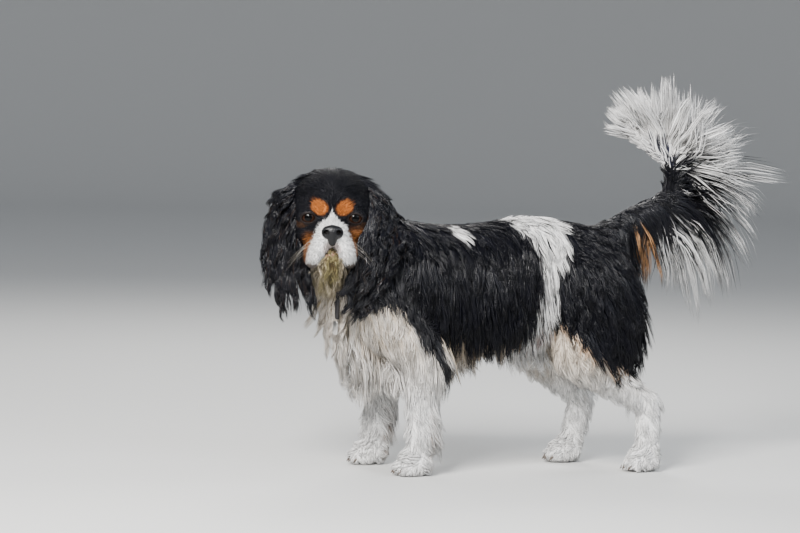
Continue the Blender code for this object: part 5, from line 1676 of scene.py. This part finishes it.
# %% [markdown]
# ## Eyes
#
# An eyeball is a sphere with a flatter cornea that stands proud of it. Its rings run round the line of sight,
# so pupil, iris and white are circles of rings, and a colour for each point is enough to paint them.

# %% The eyes
IRIS_ANGLE = 56.0  # degrees from the line of sight to the iris's edge
PUPIL_ANGLE = 25.0
CORNEA_RISE = 0.0007
SIGHT_OUT, SIGHT_DOWN = 6.0, -3.0  # degrees that each eye looks outward and down
FINE_RINGS, COARSE_RINGS, EYE_TURNS = 36, 12, 64
EYE_RINGS = FINE_RINGS + COARSE_RINGS
RIM_PLACES, RIM_RADIUS = 72, 0.00065
IRIS_BROWN, IRIS_RIM = np.array((0.016, 0.007, 0.0042)), np.array((0.003, 0.002, 0.002))
EYE_WHITE, PUPIL_BLACK = np.array((0.01, 0.007, 0.006)), np.array((0.0006, 0.0006, 0.0008))


def eye(side):
    """Rings at growing angles from the line of sight, the first and last drawn together."""
    rings = [np.linspace(0.2, 70, FINE_RINGS), np.linspace(76, 179.8, COARSE_RINGS)]
    angle = np.repeat(np.radians(np.concatenate(rings)), EYE_TURNS)
    turn = np.tile(circle(EYE_TURNS), EYE_RINGS)
    edge = math.radians(IRIS_ANGLE)
    reach = EYE_RADIUS + CORNEA_RISE * (1 - ramp(angle, 0.55 * edge, 1.05 * edge))
    ball_ways = columns(np.sin(angle) * np.cos(turn), -np.cos(angle), np.sin(angle) * np.sin(turn))
    local = reach[:, None] * ball_ways
    outward = Matrix.Rotation(math.radians(SIGHT_OUT * SIDES[side]), 4, "Z")
    sight = outward @ Matrix.Rotation(math.radians(SIGHT_DOWN), 4, "X")
    centre = Vector((SIDES[side] * EYE_PLACE[0], *EYE_PLACE[1:]))
    place = np.array(HEAD @ Matrix.Translation(centre) @ sight)
    points = local @ place[:3, :3].T + place[:3, 3]
    piece = mesh_piece(f"eye_{side}_ball", points, ring_faces(EYE_RINGS, EYE_TURNS))
    degrees = np.degrees(angle)
    fibres = 0.5 + 0.5 * np.sin(23 * turn + 2.0 * np.sin(7 * turn)) * np.sin(11 * turn + 1.0)
    iris = mixed(IRIS_BROWN * 0.6, IRIS_BROWN * 1.5, fibres)
    colour = mixed(iris, IRIS_RIM, ramp(degrees, IRIS_ANGLE - 12, IRIS_ANGLE - 2))
    colour = mixed(PUPIL_BLACK, colour, ramp(degrees, PUPIL_ANGLE - 2, PUPIL_ANGLE + 2))
    colour = mixed(colour, EYE_WHITE, ramp(degrees, IRIS_ANGLE - 1, IRIS_ANGLE + 2))
    set_colour(piece, colour)
    paint = Paint(f"eye {side}", Roughness=0.4, Specular_IOR_Level=0.02)
    paint.set(Coat_Weight=1.0, Coat_Roughness=0.03, Coat_IOR=1.2, Base_Color=paint.colours())
    finished(piece, paint.material, "eye", f"eye_{side}")


def tube(line, radius, around=8):
    """A tube round a closed line: at each of its places a circle across it."""
    along = unit(np.roll(line, -1, axis=0) - np.roll(line, 1, axis=0))
    across = unit(np.cross(along, line - line.mean(axis=0)))
    other = np.cross(across, along)
    turns = circle(around)
    rings = np.cos(turns)[None, :, None] * across[:, None] + np.sin(turns)[None, :, None] * other[:, None]
    points = line[:, None] + radius * rings
    return points.reshape(-1, 3), ring_faces(len(line), around, closed=True)


def lid_rim(side):
    """The moist dark edge of the lids: a tube where the opening's ellipsoid leaves the flesh."""
    gap = lid_gaps[list(SIDES).index(side)]
    turns = circle(RIM_PLACES)
    start = columns(np.cos(turns), -0.35, np.sin(turns))
    line = (start * gap.radii) @ gap.place[:3, :3].T + gap.place[:3, 3]
    for _ in range(12):
        line = line - 0.7 * flesh_field(line)[:, None] * unit(slope_of(flesh_field, line))
        line = line - 0.7 * distance(gap, line)[:, None] * unit(slope_of(lambda p: distance(gap, p), line))
    piece = mesh_piece(f"eye_{side}_rim", *tube(line, RIM_RADIUS))
    paint = Paint(f"eye rim {side}", Roughness=0.45, Specular_IOR_Level=0.12)
    paint.mottled(paint.noise(paint.place(), 700.0, 2.0), (0.004, 0.003, 0.003), (0.014, 0.009, 0.008))
    finished(piece, paint.material, "eye")


for side in SIDES:
    eye(side)
    lid_rim(side)

# %% [markdown]
# ## Nose, claws and whiskers
#
# A dog's nose is bare, moist leather with a pebbled grain. Its nostrils could be cut with a Boolean modifier,
# but a cut has sharp edges. Taken away from the distance field with a smooth minimum, they get rounded rims,
# and a groove down the middle is made in the same way.

# %% The nose
NOSE_STEP = 0.00055
NOSE_REACH = 0.02  # from the middle of the pad to the sides of the grid
# Each nostril from the middle of the pad: the places and radii of a comma that runs outward and down.
NOSTRIL = [
    ((0.0082, 0.0008, 0.0002), 0.0027),
    ((0.0076, -0.006, -0.0004), 0.003),
    ((0.0098, -0.0038, -0.0014), 0.0023),
    ((0.013, 0.0, -0.0052), 0.0012),
]


def nose_limb(places, radii, melt):
    """A limb through places that are counted from the middle of the pad."""
    return limb([np.add(NOSE_PLACE, place) for place in places], radii, melt, HEAD)


NOSE_STEM = nose_limb([(0, 0.0002, -0.006), (0, 0.0008, -0.012)], (0.0064, 0.0042), 0.004)
NOSE_GROOVE = nose_limb([(0, -0.0095, -0.0035), (0, -0.008, -0.021)], (0.0008, 0.0008), 0.001)
NOSE_HOLES = [
    nose_limb([(sign * x, y, z) for (x, y, z), _ in NOSTRIL], [radius for _, radius in NOSTRIL], 0.0012)
    for sign in SIDES.values()] + [NOSE_GROOVE]


def nose_field(points):
    """The pad, fuller below its wings and narrowing down the stem, with its nostrils and its groove."""
    value = melted([*NOSE, NOSE_STEM], points)
    for hole in NOSE_HOLES:
        value = -melted_in(-value, distance(hole, points), hole.melt)
    return value


nose_middle = np.array(HEAD @ (Vector(NOSE_PLACE) - Vector((0, 0, 0.003))))
nose_corners = nose_middle - NOSE_REACH, nose_middle + NOSE_REACH
nose = net_piece("nose_leather", nose_field, *nose_corners, NOSE_STEP)
paint = Paint("nose leather", Roughness=0.34, Specular_IOR_Level=0.27, Coat_Weight=0.05, Coat_Roughness=0.18)
pebbles = paint.node("ShaderNodeTexVoronoi", {"feature": "SMOOTH_F1"}, {
    "Vector": paint.place(), "Scale": 1500.0, "Smoothness": 0.35})
paint.mottled(paint.noise(paint.place(), 260.0), (0.002, 0.002, 0.0025), (0.006, 0.006, 0.0075))
paint.bump(pebbles, 0.0004, 0.45)
finished(nose, paint.material, "nose_skin", "nose")

# %% [markdown]
# Claws are small curved cones of layered horn, and a whisker is one stiff hair, made as a tuft of its own.

# %% Claws
CLAW_RINGS, CLAW_AROUND = 8, 10
CLAW_LENGTH, CLAW_RADIUS, CLAW_BEND = 0.0098, 0.002, 0.0018
PAWS = [("fore", FORE_LEGS, FORE_STANCE_X), ("hind", HIND_LEGS, HIND_STANCE_X)]


def claw(root, way):
    """A curved cone that thins towards its tip and bends down."""
    way = unit(np.array(way))
    across = unit(np.cross(way, (0, 0, 1)))
    up = np.cross(across, way)
    share = np.linspace(0, 1, CLAW_RINGS)
    turns = circle(CLAW_AROUND)
    middle = root + share[:, None] * CLAW_LENGTH * way - (share**2)[:, None] * CLAW_BEND * up
    radius = CLAW_RADIUS * (1 - share**1.6) + 0.0002
    section = np.cos(turns)[:, None] * 0.75 * across + np.sin(turns)[:, None] * up
    return (middle[:, None] + radius[:, None, None] * section[None]).reshape(-1, 3)


claw_points, claw_nodes = [], []
for kind, legs, stance in PAWS:
    for side, sign in SIDES.items():
        for index, share in enumerate(TOES):
            x = stance * sign + TOE_SPREAD * share
            root = np.array((x, toe_y(legs[side]["paw"], share) - 0.0075, 0.01))
            claw_points.append(claw(root, (0.1 * share, -0.8, -0.55)))
            claw_nodes.append(f"claw_{kind}_{side}_{index + 1}")
own = CLAW_RINGS * CLAW_AROUND
claw_faces = np.concatenate([ring_faces(CLAW_RINGS, CLAW_AROUND) + own * i for i in range(len(claw_points))])
claws = mesh_piece("claws", np.maximum(np.concatenate(claw_points), (-9, -9, 0.0003)), claw_faces)
paint = Paint("claw", Roughness=0.32)
layers = paint.noise(paint.place(scale=(1, 3, 1)), 420.0)
paint.mottled(layers, (0.03, 0.022, 0.018), (0.16, 0.125, 0.1))
paint.bump(layers, 0.0002, 0.4)
finished(claws, paint.material, "horn", *claw_nodes)

# %% Whiskers
# Each row's height from the eyes, how many whiskers it has on a side and how long they are.
WHISKER_ROWS = [(-0.0265, 3, 0.038), (-0.0325, 3, 0.044), (-0.0385, 2, 0.036)]
WHISKER_HALF_WIDTH = 0.00012
BACKWARD = np.array((0.0, 1.0, 0.0))


def whiskers():
    """Thin stiff hairs in three rows on each side of the muzzle, bending down."""
    rows = np.array([
        (height, sign, k, length * rng.uniform(0.7, 1.1))
        for height, count, length in WHISKER_ROWS for sign in SIDES.values() for k in range(count)])
    height, sign, k, lengths = rows.T
    ways = turned(unit(columns(sign * (1.0 - 0.1 * k), 0.1 + 0.2 * k, -0.45 - 0.12 * k)))
    starts = columns(sign * (0.019 + 0.0018 * k), -0.07 + 0.0085 * k, height - 0.001 * k)
    points = turned(starts) + HEAD_MIDDLE
    for _ in range(6):
        normal = unit(slope_of(flesh_field, points))
        points = points - normal * flesh_field(points)[:, None]
    share = np.linspace(0, 1, 9)[None, :, None]
    lines = points[:, None] + share * lengths[:, None, None] * ways[:, None]
    lines = lines + (share**2) * lengths[:, None, None] * (np.array((0, 0, -0.35)) + 0.3 * turned(BACKWARD))
    outward = np.tile((0.0, 0.0, 1.0), (*lines.shape[:2], 1))
    colours = np.tile((0.55, 0.5, 0.42), (len(points), 1))
    place = np.tile((0.5, 0.5), (len(points), 1))
    widths, change = np.full(len(points), WHISKER_HALF_WIDTH), np.full(len(points), 0.5)
    piece = tuft_mesh("whiskers", lines, outward, widths, colours, colours, change, place)
    paint = Paint("whisker", Roughness=0.35)
    paint.set(Base_Color=paint.colours())
    finished(piece, paint.material, "white_coat")


whiskers()

# %% [markdown]
# ## What the dog wears
#
# The collar lies deep in the coat. Only the loose end of its strap and the bare tag below it show between
# the locks of the chest. A band could be a torus, but a neck isn't round, so rays from its middle find the
# skin all round, and the band follows them.

# %% Collar, strap end and tag
COLLAR_HALF_WIDTH, COLLAR_THICK, COLLAR_AROUND = 0.0055, 0.001, 120
COLLAR_PLACE, COLLAR_AXIS = np.array((0, -0.23, 0.225)), np.array((0, -0.7, 0.714))
NECK_MIDDLE = COLLAR_PLACE + 0.066 * np.cross(COLLAR_AXIS, (1, 0, 0))
# The band's section: across it in half widths, and out from the skin in thicknesses.
COLLAR_EDGE = [(-1, 0.2), (-1, 0.8), (-0.92, 1), (0.92, 1), (1, 0.8), (1, 0.2)]


def collar_band():
    """Rays from the neck's middle meet the skin, and a rounded section is carried round on them."""
    across = np.array((1.0, 0, 0))
    upward = np.cross(COLLAR_AXIS, across)
    turns = circle(COLLAR_AROUND)
    rays = np.outer(np.cos(turns), across) + np.outer(np.sin(turns), upward)
    rings = []
    for share, rise in COLLAR_EDGE:
        middle = NECK_MIDDLE + share * COLLAR_HALF_WIDTH * COLLAR_AXIS
        reach = np.full(COLLAR_AROUND, 0.12)
        for _ in range(30):
            reach = reach - 0.7 * flesh_field(middle + reach[:, None] * rays)
        rings.append(middle + (reach + rise * COLLAR_THICK)[:, None] * rays)
    piece = mesh_piece("collar_band", np.concatenate(rings), ring_faces(len(rings), COLLAR_AROUND))
    finished(piece, leather_paint("collar leather"), "collar_strap", "collar")


def leather_paint(name):
    """Dark leather with a fine grain."""
    paint = Paint(name, Roughness=0.5, Specular_IOR_Level=0.3)
    grain = paint.noise(paint.place(), 900.0)
    paint.mottled(grain, (0.006, 0.0055, 0.006), (0.018, 0.016, 0.017))
    return paint.bump(grain, 0.0003, 0.5).material


def worn_plate(name, node, size, raise_by=0.0):
    """A flat piece with round ends: a rounded rectangle with softened edges, hung where its node is."""
    middle, wide, deep = worn_frame(node)
    width, depth, height = size
    corner = 0.38 * width
    turns = np.linspace(0, math.pi / 2, 7)
    outline = []
    for sx, sz, first in ((1, 1, 0), (-1, 1, 1), (-1, -1, 2), (1, -1, 3)):
        angle = turns + first * math.pi / 2
        outline.append(columns(
            sx * (width / 2 - corner) + corner * np.cos(angle),
            sz * (height / 2 - corner) + corner * np.sin(angle)))
    outline = np.concatenate(outline)
    rings = []
    for shrink, place in ((0.0, -1), (0.86, -1), (1.0, -0.6), (1.0, 0.6), (0.86, 1), (0.0, 1)):
        flat = outline * (shrink or 1e-3)
        if 0 < shrink < 1:
            flat = outline - unit(outline) * 0.14 * min(width, height) * 0.5
        up = middle + np.array((0, 0, raise_by)) + flat[:, 1:] * np.array((0, 0, 1.0))
        rings.append(up + flat[:, :1] * wide + place * depth / 2 * deep)
    return mesh_piece(name, np.concatenate(rings), ring_faces(len(rings), len(outline)))


collar_band()
strap = worn_plate("collar_strap", "collar_strap_end", STRAP_SIZE)
finished(strap, leather_paint("strap leather"), "collar_strap", "collar_strap_end")
TAG_NODE_HEIGHT, TAG_TOP_GAP = 0.028, 0.0012  # the tag hangs from the top of its node
tag = worn_plate("tag", "collar_tag", TAG_SIZE, (TAG_NODE_HEIGHT - TAG_SIZE[2]) / 2 - TAG_TOP_GAP)
metal = Paint("tag metal", Metallic=1.0, Roughness=0.3)
brushed = metal.noise(metal.place(scale=(1, 1, 14)), 300.0)
metal.mottled(brushed, (0.4, 0.39, 0.37), (0.74, 0.72, 0.69))
metal.bump(brushed, 0.0001, 0.3)
finished(tag, metal.material, "tag_metal", "collar_tag")

# %% [markdown]
# ## Floor, light and camera
#
# Black hair shows its form only by its shine, so a broad key light stands high before the dog's face, with a
# small light that gives the eyes their glint, a cool fill, and two lights behind that draw the edge of the
# coat. The pale floor turns up far away into a wall, so that a level view sees no horizon.

# %% The stage
FLOOR_RADIUS, COVE_RADIUS, WALL_TOP, STAGE_AROUND = 6.5, 2.2, 6.0, 96


def backdrop():
    """A round floor that turns up into a wall: the profile is a line, a quarter circle and a line."""
    turns = np.linspace(0, math.pi / 2, 13)
    cove = FLOOR_RADIUS + COVE_RADIUS * np.sin(turns)
    reach = np.concatenate([[0.0001], cove, cove[-1:]])
    height = np.concatenate([[0], COVE_RADIUS * (1 - np.cos(turns)), [WALL_TOP]])
    around = circle(STAGE_AROUND)
    x, y = np.outer(reach, np.cos(around)), np.outer(reach, np.sin(around))
    points = np.stack([x, y, np.broadcast_to(height[:, None], x.shape)], axis=-1).reshape(-1, 3)
    piece = mesh_piece("floor", points - SHIFT, ring_faces(len(reach), STAGE_AROUND)[:, ::-1])
    paint = Paint("floor", Roughness=0.85, Base_Color=(0.56, 0.56, 0.55, 1))
    piece.data.materials.append(paint.material)
    piece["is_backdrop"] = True


backdrop()

# %% Light and camera
SKY_COLOUR, SKY_STRENGTH = (0.8, 0.86, 0.95, 1), 0.5
VIEW_AIM = Vector((-0.0337, -0.1256, 0.261)) + Vector(SHIFT)
# Each light's azimuth and elevation in degrees, its distance and side in metres, its watts and its colour.
LIGHTS = {
    "key": (54, 37, 2.3, 0.8, 130, (1.0, 0.975, 0.94)),
    "front": (64, 26, 2.8, 0.38, 42, (1.0, 1.0, 1.0)),
    "fill": (122, 32, 2.8, 1.6, 36, (0.86, 0.92, 1.0)),
    "rim": (-100, 42, 2.3, 0.9, 38, (1.0, 0.98, 0.95)),
    "back": (180, 34, 2.5, 0.9, 16, (0.92, 0.96, 1.0)),
}
CAMERA_AZIMUTH, CAMERA_ELEVATION, CAMERA_DISTANCE, CAMERA_ROLL = 75.0, 4.0, 3.9, 1.2
FOCAL_LENGTH, SENSOR_WIDTH = 135, 36


def way_to(azimuth, elevation):
    """The way from the dog to a light or the camera. Azimuth 0 is in front of it and 90 on its left."""
    a, e = math.radians(azimuth), math.radians(elevation)
    return Vector((math.sin(a) * math.cos(e), -math.cos(a) * math.cos(e), math.sin(e)))


def soft_light(name, azimuth, elevation, apart, size, watts, colour):
    """A square light that faces the dog."""
    away = way_to(azimuth, elevation)
    light = bpy.data.lights.new(name, "AREA")
    light.size = size
    light.energy = watts
    light.color = colour
    lamp = bpy.data.objects.new(name, light)
    lamp.location = VIEW_AIM + apart * away
    lamp.rotation_euler = away.to_track_quat("Z", "Y").to_euler()
    bpy.context.scene.collection.objects.link(lamp)


for name, settings in LIGHTS.items():
    soft_light(name, *settings)

world = bpy.data.worlds.new("studio")
world.use_nodes = True
sky = world.node_tree.nodes["Background"]
sky.inputs["Color"].default_value = SKY_COLOUR
sky.inputs["Strength"].default_value = SKY_STRENGTH
bpy.context.scene.world = world

lens = bpy.data.cameras.new("camera")
lens.lens, lens.sensor_width = FOCAL_LENGTH, SENSOR_WIDTH
camera = bpy.data.objects.new("camera", lens)
away = way_to(CAMERA_AZIMUTH, CAMERA_ELEVATION)
turn = away.to_track_quat("Z", "Y").to_matrix().to_4x4() @ Matrix.Rotation(math.radians(CAMERA_ROLL), 4, "Z")
camera.matrix_world = Matrix.Translation(VIEW_AIM + CAMERA_DISTANCE * away) @ turn
bpy.context.scene.collection.objects.link(camera)
bpy.context.scene.camera = camera
print("lights:", ", ".join(LIGHTS))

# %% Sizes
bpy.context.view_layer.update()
total = sum(len(piece.data.loop_triangles) or len(piece.data.polygons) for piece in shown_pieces())
print("about", total, "faces in all")
